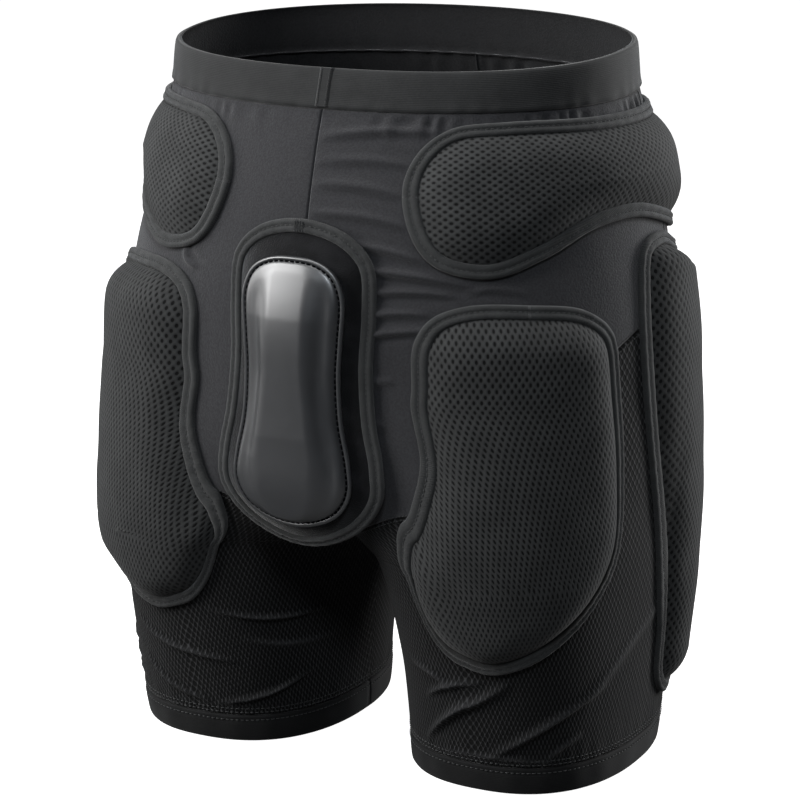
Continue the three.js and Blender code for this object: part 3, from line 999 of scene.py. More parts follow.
@dataclass
class Garment:
    """Waistband, jersey, perforated leg panels, hem bands and the seams between them."""

    band_low: float = 437.0
    hem_top: float = 19.0
    side_u: float = 0.1
    tuck: float = 1.3
    hem_cloth: float = 1.6
    band_cloth: float = 2.4
    join_half: float = 4.5
    declared_hem: float = 0.0213  # metres of cloth height, with the turned edges
    declared_band: float = 0.0328
    made: list[bpy.types.Object] = field(default_factory=list)

    def _creases(self, turn: Array, z: Array, side: Side) -> Array:
        """Relief of the cloth: creases, puckers under the waistband and slight unevenness.

        Args:
            turn: radians round the section.
            z: heights.
            side: side of the garment.

        Returns:
            Lift off the body.
        """
        relief = 0.5 * ripple(BODY.point(turn, z) * np.array([side.value, 1, 1]), 26.0)
        for fold in FOLDS[side] + BACK_FOLDS:
            relief = relief + fold.relief(turn, z)
        degrees = np.degrees(turn)
        uneven = 1.8 * np.sin(degrees * 0.21) + 0.8 * np.sin(degrees * 0.53 + z * 0.05)
        phase = degrees * 1.25 + uneven
        below = np.maximum(self.band_low - 1 - z, 0)
        near_band = np.exp(-((below / 11.0) ** 2)) * (1 - np.exp(-below / 1.5))
        strength = np.clip(0.45 + 0.75 * np.sin(degrees * 0.17 + 0.6), 0.1, 1)
        puckers = 2.0 if side is Side.LEFT else 0.8
        relief = relief + puckers * near_band * strength * np.sin(phase)
        near_hem = np.exp(-np.maximum(z - self.hem_top, 0) / 8.0) * (z > self.hem_top)
        return relief + 0.5 * near_hem * np.sin(degrees * 0.8 + 2 * np.sin(degrees * 0.13))

    def _panel(self, cut: PanelCut, side: Side) -> Cloth:
        """Cuts one panel, shapes it on the body and rolls its edges into the seams.

        Args:
            cut: the panel's edges and density.
            side: side of the garment.

        Returns:
            The panel as a closed piece of cloth.
        """
        u = cut.shares()[:, None] + np.zeros((1, cut.rows))
        low, high = cut.low(u), cut.high(u)
        z = low + (high - low) * np.linspace(0, 1, cut.rows)[None, :]
        turn = BODY.turn(u, z)
        edge = np.minimum(z - low, high - z)
        if cut.to_u - cut.from_u < 2:
            edge = np.minimum(edge, np.minimum(u - cut.from_u, cut.to_u - u) * 480.0)
        roll = self.tuck * np.exp(-((edge / 0.9) ** 2))
        lift = self._creases(turn, z, side) * np.clip(edge / 8.0, 0.15, 1) - roll
        outside = BODY.lifted(turn, z, lift)
        inside = BODY.lifted(turn, z, lift - cut.thickness)
        for grid in (outside, inside):
            grid[..., 0] = np.maximum(grid[..., 0], 0.0)
            grid[..., 2] = np.maximum(grid[..., 2], 0.0)
        grain = math.radians(cut.right_grain) if side is Side.RIGHT else 0.0
        run = -np.degrees(turn) * 2.5
        # the crest share closes the mesh holes and paints a highlight along the folds
        pinch = sum(fold.pinch(turn, z) for fold in FOLDS[side])
        lay = np.stack([
            run * math.cos(grain) + z * math.sin(grain),
            z * math.cos(grain) - run * math.sin(grain),
            np.clip(pinch, 0, 1),
        ], -1)
        return sewn_shell(outside, inside, lay).mirrored(side)

    def _keep(self, piece: bpy.types.Object, slot: str, *nodes: str) -> None:
        """Attaches a piece and notes it as made."""
        fasten(piece, slot, *nodes)
        self.made.append(piece)

    def _declare(self, piece: bpy.types.Object, length: float = 0.0) -> None:
        """Works out a piece's height in metres when none is given; nothing is done with it.

        Args:
            piece: a closed shell of cloth.
            length: its height in metres; 0 for the height it covers.
        """
        if not length:
            heights = [v.co.z for v in piece.data.vertices]
            length = max(heights) - min(heights)

    def panels(self) -> None:
        """Cuts and sews the jersey and the leg panels of both legs."""
        seam, under_band = BODY.leg_seam, level(self.band_low)
        before, behind = self.side_u - 0.001, self.side_u + 0.001
        legs = PanelCut(-1, 1, level(self.hem_top), seam, 400, 150, right_grain=16)
        cuts = (
            ("jersey_front", PanelCut(-1, before, seam, under_band, 200, 180), JERSEY, "jersey"),
            ("jersey_back", PanelCut(behind, 1, seam, under_band, 140, 140), JERSEY, "jersey"),
            ("leg_mesh", legs, LEG_MESH, "leg_mesh"),
        )
        for side in Side:
            for node, cut, finish, slot in cuts:
                name = f"{node}_{side.word}"
                piece = self._panel(cut, side).made("sewn_" + name, finish, SHADED_INSIDE_KNIT)
                self._keep(piece, slot, name)
                self._declare(piece)

    def hems(self) -> None:
        """Folds the hem bands."""
        for side in Side:
            u = np.linspace(-1, 1, 241)[:, None]
            z, out = np.array(HEM_PROFILE).T[:, None]
            turn = BODY.turn(u + 0 * z, z + 0 * u)
            wave = 0.25 * np.sin(np.degrees(turn) * 0.4) * np.clip(z / 6, 0, 1)
            outside = BODY.lifted(turn, z + 0 * u, out + wave)
            behind = np.minimum(out - self.hem_cloth, -self.hem_cloth)
            inside = BODY.lifted(turn, z + 0 * u, behind + wave)
            for grid in (outside, inside):
                grid[..., 2] = np.maximum(grid[..., 2], 0.0)
                grid[..., 0] = np.maximum(grid[..., 0], 0.2)
            lay = np.stack([np.degrees(turn) * 2.3, z + 0 * u], -1)
            cloth = sewn_shell(outside, inside, lay).mirrored(side)
            piece = cloth.made(f"folded_hem_{side.word}", HEM, SHADED_INSIDE_KNIT)
            self._keep(piece, "band_cloth", f"hem_band_{side.word}")
            self._declare(piece, self.declared_hem)

    def waistband(self) -> None:
        """Makes the elastic waistband with its tacked front join."""
        turns = np.linspace(-math.pi / 2, math.pi / 2, 181)
        z, out = np.array(BAND_PROFILE).T
        half = []
        for side in Side:
            sweep = turns if side is Side.LEFT else turns[::-1]
            grid_t, grid_z = np.meshgrid(sweep, z, indexing="ij")
            wave = np.sin(np.degrees(grid_t) * 0.9 + 1.5 * np.sin(np.degrees(grid_t) * 0.23))
            lift = out[None, :] + 0.35 * wave * np.exp(-(grid_z - 437) / 5)
            both = [BODY.lifted(grid_t, grid_z, lift - t) for t in (0.0, self.band_cloth)]
            for grid in both:
                grid[..., 0] *= side.value
            half.append(both)
        outside = np.concatenate([half[0][0], half[1][0][1:-1]])
        inside = np.concatenate([half[0][1], half[1][1][1:-1]])
        run = run_of(np.concatenate([outside[:, 5], outside[:1, 5]]))[:-1]
        lay = np.stack([run[:, None] + 0 * z[None, :], z[None, :] + 0 * run[:, None]], -1)
        piece = sewn_shell(outside, inside, lay, wrap=True).made("elastic_waistband", BAND, SHADED_INSIDE_KNIT)
        self._keep(piece, "band_cloth", "waistband")
        self._declare(piece, self.declared_band)
        self._join()

    def _join(self) -> None:
        """The lapped join at the middle front, with a bar tack down each edge."""
        z = np.linspace(437.6, 464.6, 40)
        across = np.linspace(-self.join_half, self.join_half, 15)
        base = BODY.lifted(np.full_like(z, -math.pi / 2), z, 1.55)
        crown = 0.75 * (1 - (np.abs(across) / self.join_half) ** 6)
        flat = 0 * across
        outside = base[None] + np.stack([across, -crown, flat], -1)[:, None]
        inside = base[None] + np.stack([across, flat + 0.9, flat], -1)[:, None]
        lay = np.stack(np.broadcast_arrays(across[:, None], z[None, :]), -1)
        piece = sewn_shell(outside, inside, lay).made("lapped_front_join", BAND)
        self._keep(piece, "band_cloth", "waistband_front_join")
        rows = []
        for x in (-3.0, 3.0):
            zigzag = x + 0.7 * (-1.0) ** np.arange(len(z))
            path = np.stack([zigzag, base[:, 1] - 0.95, base[:, 2]], -1)
            ahead = np.tile([0.0, -1.0, 0.0], (len(z), 1))
            rows.append(Stitching(1.0, 0.25, 0.22).along(path, ahead))
        tack = joined(rows).made("front_join_tacks", THREAD)
        self._keep(tack, "band_cloth")

    def _row(self, u: Array, z: Array, lift: float, side: Side) -> tuple[Array, Array]:
        """Path and outward direction of a stitch row on the cloth.

        Args:
            u: shares of the way round.
            z: heights.
            lift: height over the cloth.
            side: side of the garment.

        Returns:
            The path and the directions.
        """
        turn = BODY.turn(u, z)
        mirror = np.array([side.value, 1, 1])
        lift_here = lift + self._creases(turn, z, side) * 0.15
        return BODY.lifted(turn, z, lift_here) * mirror, BODY.normal(turn, z) * mirror

    def seams(self) -> None:
        """Sews the stitch rows: back middle, leg panel and hem."""
        stitch = Stitching()
        fine = Stitching(1.6, 0.9, 0.28)
        for side in Side:
            rows = []
            around = np.linspace(-0.999, 0.999, 400)
            for offset in (-2.2, 2.2):
                beside = BODY.leg_seam(around) + offset
                rows.append(fine.along(*self._row(around, beside, 0.25, side)))
            for z, lift in ((16.2, 0.75), (21.6, 0.2), (24.4, 0.2)):
                rows.append(stitch.along(*self._row(around, np.full_like(around, z), lift, side)))
            up = np.linspace(240, 434, 160)
            rows.append(fine.along(*self._row(np.full_like(up, 0.988), up, 0.2, side)))
            piece = joined(rows).made(f"seam_stitching_{side.word}", THREAD)
            self._keep(piece, "jersey")


# ---------------------------------------------------------------- pads


@dataclass(frozen=True)
class Wrap:
    """Lays a flat pad on the body: s runs round it, t is the height, ahead of any shift."""

    scale: float
    turned: float = 0.0
    raised: float = 0.0

    def place(self, s: Array, t: Array, lift: Array) -> Array:
        """Places flat points on the left half."""
        return BODY.lifted(np.radians(s / self.scale + self.turned), t + self.raised, lift)


@dataclass(frozen=True)
class FrontBridge:
    """Lays the front pad ahead of the groin: straight, then curling under."""

    top_z: float = 374.0
    top_y: float = -138.0
    lean: float = 11.0
    curl_z: float = 214.0
    curl_r: float = 84.0
    wrap_r: float = 230.0

    def place(self, s: Array, t: Array, lift: Array) -> Array:
        """Places flat points.

        Args:
            s: distance across, from the middle line.
            t: height on the flat pad, 0 at its top and negative below.
            lift: height over the pad's base.

        Returns:
            The points in space.
        """
        s, t, lift = np.broadcast_arrays(*(np.asarray(v, float) for v in (s, t, lift)))
        down = -t
        angle = math.atan2(self.lean, self.top_z - self.curl_z)
        straight = math.hypot(self.lean, self.top_z - self.curl_z)
        a = np.maximum(down - straight, 0) / self.curl_r - angle
        curl_y = self.top_y - self.lean + self.curl_r * math.cos(angle)
        curl_z = self.curl_z - self.curl_r * math.sin(angle)
        level_y, level_z = self.top_y - math.sin(angle) * down, self.top_z - math.cos(angle) * down
        y = np.where(down < straight, level_y, curl_y - self.curl_r * np.cos(a))
        z = np.where(down < straight, level_z, curl_z - self.curl_r * np.sin(a))
        out = lift - (self.wrap_r - np.sqrt(self.wrap_r**2 - s * s))
        x = s * (1 + lift / self.wrap_r)
        return np.stack([x, y - np.cos(a) * out + CENTRE_Y, z - np.sin(a) * out], -1)


@dataclass(frozen=True)
class PadCut:
    """A pad's flat cut: outline, middle line and full height."""

    name: str
    place: Place
    outline: tuple[Flat, ...]
    spine: tuple[Flat, Flat]
    height: float
    sides: tuple[Side, ...] = tuple(Side)
    edge_round: float = 27.0
    right_place: Place | None = None

    def edge(self, count: int) -> Array:
        """The smooth closed outline, counter-clockwise.

        Args:
            count: how many points to give.

        Returns:
            The ring of points.
        """
        p = np.array(self.outline, float)
        dense = []
        for i in range(len(p)):
            p0, p1, p2, p3 = (p[(i + k) % len(p)] for k in (-1, 0, 1, 2))
            steps = (p1 - p0, p2 - p1, p3 - p2)
            d0, d1, d2 = (max(float(np.linalg.norm(step)) ** 0.5, 1e-4) for step in steps)
            m1 = ((p1 - p0) / d0 - (p2 - p0) / (d0 + d1) + (p2 - p1) / d1) * d1
            m2 = ((p2 - p1) / d1 - (p3 - p1) / (d1 + d2) + (p3 - p2) / d2) * d1
            t = np.linspace(0, 1, 24, endpoint=False)[:, None]
            dense.append(
                (2 * t**3 - 3 * t**2 + 1) * p1 + (t**3 - 2 * t**2 + t) * m1
                + (3 * t**2 - 2 * t**3) * p2 + (t**3 - t**2) * m2
            )
        ring = respaced(np.concatenate(dense), count, closed=True)
        for _ in range(6):
            ring = evened(ring)
        x, y = ring[:, 0], ring[:, 1]
        area = float(np.sum(x * np.roll(y, -1) - np.roll(x, -1) * y))
        return ring if area > 0 else ring[::-1]


def evened(ring: Array) -> Array:
    """A closed row of values or points, each drawn halfway to its neighbours."""
    return 0.5 * ring + 0.25 * (np.roll(ring, 1, 0) + np.roll(ring, -1, 0))


def inset(ring: Array, distance: float | Array) -> Array:
    """Moves a closed outline inwards.

    Args:
        ring: counter-clockwise outline.
        distance: one distance, or one for each point.

    Returns:
        The smaller outline.
    """
    ahead = np.roll(ring, -1, 0) - np.roll(ring, 1, 0)
    ahead /= np.linalg.norm(ahead, axis=1, keepdims=True)
    return ring + np.stack([-ahead[:, 1], ahead[:, 0]], -1) * np.asarray(distance)[..., None]


def feet_on(spine: Sequence[Flat], ring: Array) -> Array:
    """Nearest point of the middle line for every point of a ring.

    Args:
        spine: ends of the middle line.
        ring: points of the ring.

    Returns:
        One point of the line for each.
    """
    a, b = (np.array(p, float) for p in spine)
    t = np.clip(((ring - a) @ (b - a)) / ((b - a) @ (b - a)), 0, 1)
    return a + t[:, None] * (b - a)


def ladder(ring: Array, spine: Sequence[Flat]) -> list[tuple[int, int, int]]:
    """Triangles that fill a slim ring, running across it from one end to the other.

    Args:
        ring: points of the ring.
        spine: ends of the line it runs along.

    Returns:
        Triangles of point numbers.
    """
    a, b = (np.array(p, float) for p in spine)
    along = (ring - a) @ (b - a)
    n, start = len(ring), int(np.argmin(along))
    ahead, behind, faces = start, start + n, []
    while behind - ahead > 1:
        if along[(ahead + 1) % n] < along[(behind - 1) % n]:
            faces.append((ahead % n, (ahead + 1) % n, behind % n))
            ahead += 1
        else:
            faces.append((ahead % n, (behind - 1) % n, behind % n))
            behind -= 1
    return [f for f in faces if len(set(f)) == 3]


@dataclass
class Cushion:
    """A closed cushion on concentric rings, kept as a flat layout plus a lift per point."""

    rings: Array
    spine: Sequence[Flat]
    place: Place
    top: Array
    bottom: Array

    def cloth(self) -> Cloth:
        """The cushion as points and faces: all top rings, then all bottom rings.

        Returns:
            The closed piece.
        """
        count, n = self.rings.shape[:2]
        flat = self.rings.reshape(-1, 2)
        up = self.place(flat[:, 0], flat[:, 1], self.top.reshape(-1))
        low = self.place(flat[:, 0], flat[:, 1], self.bottom.reshape(-1))
        number = np.arange(count * n).reshape(count, n)
        a, b = number[:-1], np.roll(number, -1, 1)[:-1]
        c, d = np.roll(number, -1, 1)[1:], number[1:]
        skin = np.stack([a, b, c, d], -1).reshape(-1, 4)
        faces = [tuple(f) for f in skin.tolist()]
        faces += [tuple(f) for f in (skin[:, ::-1] + count * n).tolist()]
        first, after = number[0], np.roll(number[0], -1)
        rim = np.stack([after, first, first + count * n, after + count * n], -1)
        faces += [tuple(f) for f in rim.tolist()]
        for t in ladder(self.rings[-1], self.spine):
            lifted = tuple(int(v) + (count - 1) * n for v in t)
            faces += [lifted, tuple(v + count * n for v in reversed(lifted))]
        lay = np.concatenate([flat, flat])
        return Cloth(np.concatenate([up, low]), faces, lay)


# distance in from the pad's edge and height over its base
TAPE_PROFILE = (
    (0, 0), (-0.2, 0.9), (0.1, 2.1), (1.1, 3), (2.2, 3.1), (3.1, 2.8), (3.7, 2.4), (4.3, 2.8),
    (5.2, 3.4), (6.4, 3.7), (7.5, 3.4), (8.2, 2.6), (8.5, 1.4), (8.4, 0),
)


@dataclass
class BoundPad:
    """A foam pad under a cloth cover, with a stitched binding tape round it."""

    cut: PadCut
    finish: Finish
    slot: str
    lift: float = 1.8
    tape_width: float = 8.0
    groove: float = 3.7
    dip: float = 1.95
    around: int = 220
    right_share: float = 1.0
    slim: float = 0.0

    def cushion(self, side: Side) -> Cushion:
        """The cover, rounded at the rim and slightly crowned.

        Args:
            side: side of the garment; the foam on the wearer's right may lie flatter.

        Returns:
            The cover on its flat layout.
        """
        full = (self.cut.height - 2.4) * (self.right_share if side is Side.RIGHT else 1.0)
        rim = inset(self.cut.edge(self.around), self.tape_width)
        feet = feet_on(self.cut.spine, rim)
        reach = np.linalg.norm(rim - feet, axis=1)
        near = np.array([0.0, 0.7, 1.8, 3.2, 5.0, 7.2, 10.0, 13.5])
        shares = [np.minimum(d / reach, 0.45 + d / 100) for d in near]
        shares += [shares[-1] + (0.92 - shares[-1]) * k / 11 for k in range(1, 12)]
        share = np.array(shares)
        rings = rim[None] + (feet - rim)[None] * share[..., None]
        distance = share * reach[None]
        rise = 1 - (1 - np.clip(distance / self.cut.edge_round, 0, 1)) ** 2.4
        crown = 1.6 * (1 - np.exp(-distance / 30))
        flat = self.cut.place(rings[..., 0], rings[..., 1], np.zeros_like(distance))
        dents = 0.5 * ripple(flat, 19.0) * np.clip(distance / 12, 0, 1)
        swell = full * (1 - self.slim * lower_end(rings[..., 1])) * rise + crown
        for ring in range(1, len(swell)):
            for _ in range(6 * ring):
                swell[ring] = evened(swell[ring])
        top = self.lift + 1.2 + swell + dents
        bottom = np.full_like(top, self.lift)
        return Cushion(rings, self.cut.spine, self.cut.place, top, bottom)

    def binding(self) -> Cloth:
        """The folded tape: two soft ridges with the stitch groove between them.

        Returns:
            The tape as one closed ring.
        """
        edge = self.cut.edge(self.around * 2)
        w, h = np.array(TAPE_PROFILE).T
        wave = 0.12 * np.sin(np.arange(len(edge)) * 0.9)
        grid = np.stack([inset(edge, np.full(len(edge), x)) for x in w], 1)
        lift = self.lift - 0.6 + h[None, :] + wave[:, None] * (h > 0)[None, :]
        outside = self.cut.place(grid[..., 0], grid[..., 1], lift)
        inside = self.cut.place(grid[..., 0], grid[..., 1], np.full_like(lift, self.lift - 0.9))
        run = np.arange(len(edge)) * run_of(np.concatenate([edge, edge[:1]]))[-1] / len(edge)
        lay = np.stack(np.broadcast_arrays(run[:, None], w[None, :]), -1)
        return sewn_shell(outside, inside, lay, wrap=True)

    def stitches(self) -> Cloth:
        """The row that holds the tape, down in its groove.

        Returns:
            The whole row as one piece.
        """
        ring = inset(self.cut.edge(self.around * 2), np.full(self.around * 2, self.groove))
        path, above = (
            self.cut.place(ring[:, 0], ring[:, 1], np.full(len(ring), self.lift + self.dip + up))
            for up in (0.0, 1.0)
        )
        return Stitching().along(path, above - path, closed=True)

    def build(self) -> list[bpy.types.Object]:
        """Makes cover, tape and stitches for each side.

        Returns:
            The covers.
        """
        covers = []
        for side in self.cut.sides:
            ending = f"_{side.word}" if len(self.cut.sides) > 1 else ""
            label = self.cut.name + "_pad"
            pad = self
            if side is Side.RIGHT and self.cut.right_place:
                pad = replace(self, cut=replace(self.cut, place=self.cut.right_place))
            cover, tape, sewing = (
                cloth.mirrored(side).made(f"{label}_{part}{ending}", finish)
                for cloth, part, finish in (
                    (pad.cushion(side).cloth(), "puffed_cover", self.finish),
                    (pad.binding(), "bound_edge", TAPE),
                    (pad.stitches(), "stitching", THREAD),
                )
            )
            fasten(cover, self.slot, f"{label}_foam{ending}", f"{label}_cover{ending}")
            fasten(tape, "binding", f"{label}_binding{ending}")
            fasten(sewing, "binding")
            covers.append(cover)
        return covers


@dataclass
class FoamSwell:
    """Lets the covers swell over their foam: a short cloth simulation with air pressure."""

    pressure: float = 2.0
    frames: int = 14
    cap: float = 2.2
    held: int = 600  # top points beside the tape that stay where they are

    def run(self, covers: Sequence[bpy.types.Object]) -> None:
        """Swells all covers in one simulation and writes the result into their meshes.

        Args:
            covers: the pad covers; each has its top rings first, then its bottom rings.
        """
        points, faces, pins, spans = [], [], [], []
        offset = 0
        for cover in covers:
            co = np.array([v.co for v in cover.data.vertices])
            half = len(co) // 2
            spans.append((offset, offset + len(co)))
            points.append(co)
            faces += [tuple(v + offset for v in p.vertices) for p in cover.data.polygons]
            pins += [offset + i for i in range(len(co)) if i >= half or i < self.held]
            offset += len(co)
        mesh = bpy.data.meshes.new("swelling")
        mesh.from_pydata(np.concatenate(points).tolist(), [], faces)
        bag = bpy.data.objects.new("swelling", mesh)
        bpy.context.scene.collection.objects.link(bag)
        group = bag.vertex_groups.new(name="held")
        group.add(pins, 1.0, "ADD")
        cloth = bag.modifiers.new("swell", "CLOTH")
        for key, value in {
            "quality": 4, "mass": 0.3, "tension_stiffness": 12, "bending_stiffness": 2.5,
            "use_pressure": True, "uniform_pressure_force": self.pressure,
            "vertex_group_mass": "held",
        }.items():
            setattr(cloth.settings, key, value)
        cloth.settings.effector_weights.gravity = 0
        cloth.point_cache.frame_start, cloth.point_cache.frame_end = 1, self.frames
        scene = bpy.context.scene
        for number in range(1, self.frames + 1):
            scene.frame_set(number)
        settled = bag.evaluated_get(bpy.context.evaluated_depsgraph_get())
        co = np.array([v.co for v in settled.to_mesh().vertices])
        settled.to_mesh_clear()
        scene.frame_set(1)
        for cover, (low, high), start in zip(covers, spans, points):
            move = co[low:high] - start
            size = np.linalg.norm(move, axis=1, keepdims=True)
            move *= np.minimum(1.0, self.cap * MM / np.maximum(size, 1e-9))
            cover.data.vertices.foreach_set("co", (start + move).ravel())
            cover.data.update()
            most = min(float(size.max()) / MM, self.cap)
            LOG.info("%s swelled by up to %.1f mm", cover.name, most)
        bpy.data.objects.remove(bag)


def both_ways(half: Sequence[Flat]) -> tuple[Flat, ...]:
    """Completes a half outline that starts and ends on the middle line."""
    return (*half, *((-x, d) for x, d in reversed(half[1:-1])))


def lower_end(t: Array) -> Array:
    """0 on the upper part of the front pad, rising smoothly to 1 on its lower end.

    Args:
        t: heights on the flat front pad.

    Returns:
        The share at each height.
    """
    share = np.clip((-t - 50) / 100, 0, 1)
    return share * share * (3 - 2 * share)


def in_turns(scale: float, places: Sequence[Flat]) -> tuple[Flat, ...]:
    """Flat points from (turn in degrees, height)."""
    return tuple((degrees * scale, z) for degrees, z in places)


FRONT = FrontBridge()
FRONT_SPINE = ((0.0, -60.0), (0.0, -150.0))
FRONT_SLIM = 0.5  # share of its height that the front pad loses towards its lower end


@dataclass
class PadSet:
    """All the pads of the shorts."""

    pads: list[BoundPad] = field(default_factory=list)

    def wrapped(
        self, name: str, scale: float, height: float, spine: Sequence[Flat],
        outline: Sequence[Flat], sides: tuple[Side, ...] = tuple(Side),
    ) -> BoundPad:
        """A mesh-covered pad laid on the body, from its outline in turns and heights.

        Args:
            name: which pad, as in the names of its nodes.
            scale: flat millimetres per degree of turn.
            height: full height with its tape.
            spine: ends of its middle line.
            outline: corners of its smooth outline.
            sides: sides that have one.

        Returns:
            The pad.
        """
        ends, corners = in_turns(scale, spine), in_turns(scale, outline)
        cut = PadCut(name, Wrap(scale).place, corners, (ends[0], ends[1]), height, sides)
        if name == "thigh":
            cut = replace(cut, right_place=Wrap(scale, 2.0, 8.0).place)
        if name == "hip":
            return BoundPad(cut, SPACER_TURNED, "spacer_mesh", right_share=0.6)
        return BoundPad(cut, SPACER, "spacer_mesh")

    def build(self) -> list[bpy.types.Object]:
        """Makes every pad.

        Returns:
            The covers.
        """
        self.pads = [
            self.wrapped("hip", 2.4, 13, ((-48, 384), (36, 388)), (
                (-70, 384), (-67, 410), (-60, 426), (-47, 430), (-20, 429), (15, 427), (40, 424),
                (54, 412), (58, 386), (52, 357), (38, 345), (22, 346), (6, 356), (-10, 365),
                (-25, 362), (-39, 347), (-53, 336), (-65, 345))),
            self.wrapped("thigh", 2.5, 15, ((-46, 275), (-68, 140)), (
                (-44, 320), (-30, 315), (-22, 300), (-20, 270), (-20, 215), (-24, 160), (-34, 132),
                (-50, 108), (-68, 92), (-84, 87), (-96, 98), (-103, 120), (-104, 148), (-96, 170),
                (-85, 196), (-75, 226), (-71, 260), (-70, 296), (-66, 312), (-58, 320))),
            self.wrapped("side", 2.4, 14, ((13, 320), (15, 70)), (
                (13, 343), (1, 352), (-8, 346), (-11, 312), (-9, 230), (-4, 160), (0, 95), (2, 55),
                (14, 38), (28, 55), (30, 95), (33, 160), (36, 230), (36, 300), (28, 331))),
            self.wrapped("seat", 2.9, 16, ((62, 270), (66, 215)), (
                (58, 325), (46, 312), (42, 280), (44, 230), (52, 190), (66, 174), (80, 188),
                (84, 225), (80, 262), (74, 300))),
            self.wrapped("tail", 2.9, 12, ((90, 375), (90, 345)), (
                (90, 318), (98, 330), (102, 355), (103, 385), (98, 402), (90, 406), (82, 402),
                (77, 385), (78, 355), (82, 330)), (Side.LEFT,)),
            BoundPad(
                PadCut("front", FRONT.place, both_ways((
                    (0, -6), (30, -13), (47, -30), (50, -60), (49, -95), (52, -130), (57, -155),
                    (57, -178), (44, -198), (22, -212), (0, -217))),
                    FRONT_SPINE, 9, (Side.LEFT,)),
                PILE, "velour", slim=FRONT_SLIM),
        ]
        covers = []
        for pad in self.pads:
            made = pad.build()
            covers += made
            LOG.info("%s pad: %d cover(s)", pad.cut.name, len(made))
        self._tack(self.pads[-1])
        return covers

    def _tack(self, pad: BoundPad) -> None:
        """Tacks the ends of the front pad's tape where they lap at its top.

        Args:
            pad: the front pad.
        """
        rows = []
        for s in (-2.6, -0.9, 0.9, 2.6):
            t = np.linspace(-7.0, -14.0, 24)
            at = s + 0.5 * (-1.0) ** np.arange(len(t))
            path = pad.cut.place(at, t, np.full(len(t), pad.lift + 3.0))
            above = pad.cut.place(at, t, np.full(len(t), pad.lift + 4.0))
            rows.append(Stitching(0.9, 0.2, 0.26).along(path, above - path))
        fasten(joined(rows).made("front_pad_tape_tack", THREAD), "binding")


@dataclass
class HardShell:
    """The moulded shell on the front pad: a flange, a stitch groove and a raised middle."""

    outline: tuple[Flat, ...] = (
        (0, -28), (15, -29.5), (27, -36.5), (33.5, -51), (33, -77), (32, -100), (34, -130),
        (39, -155), (39.5, -173), (29, -188), (0, -196.5),
    )
    foot: float = 11.8
    sink: float = 3.3
    thickness: float = 1.5
    bead: Flat = (1.6, 1.3)  # height and width of the rolled rim
    groove: Flat = (1.1, 0.6)  # depth and half width of the stitch groove
    groove_at: float = 3.0
    shoulder: Flat = (1.2, 1.8)  # height at the head, and what it gains further down
    crown: Flat = (6.4, 3.4)  # height in the middle, and what it loses at the lower end
    flute: Flat = (1.3, 3.4)  # depth and half width of the hollow beside the crown
    flute_at: float = 12.5

    def _cut(self) -> PadCut:
        """The shell's flat cut."""
        return PadCut("shell", FRONT.place, both_ways(self.outline), FRONT_SPINE, 8, (Side.LEFT,))

    def _height(self, rings: Array, distance: Array) -> Array:
        """Height over the foot for places of the shell.

        Args:
            rings: flat places.
            distance: how far each is from the rim.

        Returns:
            The heights.
        """
        down = -rings[..., 1]
        bead = self.bead[0] * np.sqrt(1 - (1 - np.clip(distance / self.bead[1], 0, 1)) ** 2)
        groove = -self.groove[0] * np.exp(-(((distance - self.groove_at) / self.groove[1]) ** 2))
        inner = np.clip((distance - 3.6) / 5.0, 0, 1)
        shoulder = self.shoulder[0] + self.shoulder[1] * np.clip((down - 36) / 30, 0, 1)
        shoulder = shoulder * (1 - (1 - inner) ** 2)
        half_width = np.interp(down, [100, 155, 175, 190, 196], [33, 39, 38, 30, 20])
        middle = np.clip((half_width - np.abs(rings[..., 0]) - 8.0) / 15.0, 0, 1)
        middle = middle * np.clip((distance - 3.6) / 6.0, 0, 1)
        rise = 1 - (1 - np.clip((down - 32) / 62, 0, 1)) ** 2.2
        low = np.clip((down - 140) / 50, 0, 1)
        crown = (self.crown[0] * rise - self.crown[1] * low) * middle * middle * (3 - 2 * middle)
        fluted = np.clip((down - 50) / 40, 0, 1) * np.clip((178 - down) / 70, 0, 1)
        hollow = np.exp(-(((distance - self.flute_at) / self.flute[1]) ** 2))
        flute = -self.flute[0] * fluted * hollow
        return bead + groove + shoulder + crown + flute

    def build(self) -> None:
        """Moulds the shell and sews it down."""
        cut = self._cut()
        rim = cut.edge(260)
        feet = feet_on(cut.spine, rim)
        reach = np.linalg.norm(rim - feet, axis=1)
        near = (0, 0.1, 0.3, 0.6, 1, 1.5, 2.1, 2.5, 3, 3.5, 4.1, 5, 6, 7.2, 8.6, 10.2, 12)
        shares = [d / reach for d in near]
        shares += [shares[-1] + (0.93 - shares[-1]) * k / 14 for k in range(1, 15)]
        share = np.array(shares)
        rings = rim[None] + (feet - rim)[None] * share[..., None]
        distance = share * reach[None]
        foot = self.foot - self.sink * lower_end(rings[..., 1])
        top = foot + self._height(rings, distance)
        bottom = foot - self.thickness
        shell = Cushion(rings, cut.spine, cut.place, top, bottom).cloth()
        piece = shell.made("moulded_front_shell", SHELL)
        fasten(piece, "hard_shell", "front_hard_shell")
        ring = inset(rim, np.full(len(rim), self.groove_at))
        foot = self.foot - self.sink * lower_end(ring[:, 1])
        path = cut.place(ring[:, 0], ring[:, 1], foot + 0.75)
        above = cut.place(ring[:, 0], ring[:, 1], foot + 1.75)
        # wide, almost gapless dark stitches: the thread's own colour plus painted shade for the
        # groove
        sewing = Stitching(3.2, 0.5, 0.6).along(path, above - path, closed=True)
        fasten(sewing.made("shell_stitching", GROOVE_SHADE_THREAD), "hard_shell")
        LOG.info("hard shell: moulded and sewn down")


# ---------------------------------------------------------------- studio


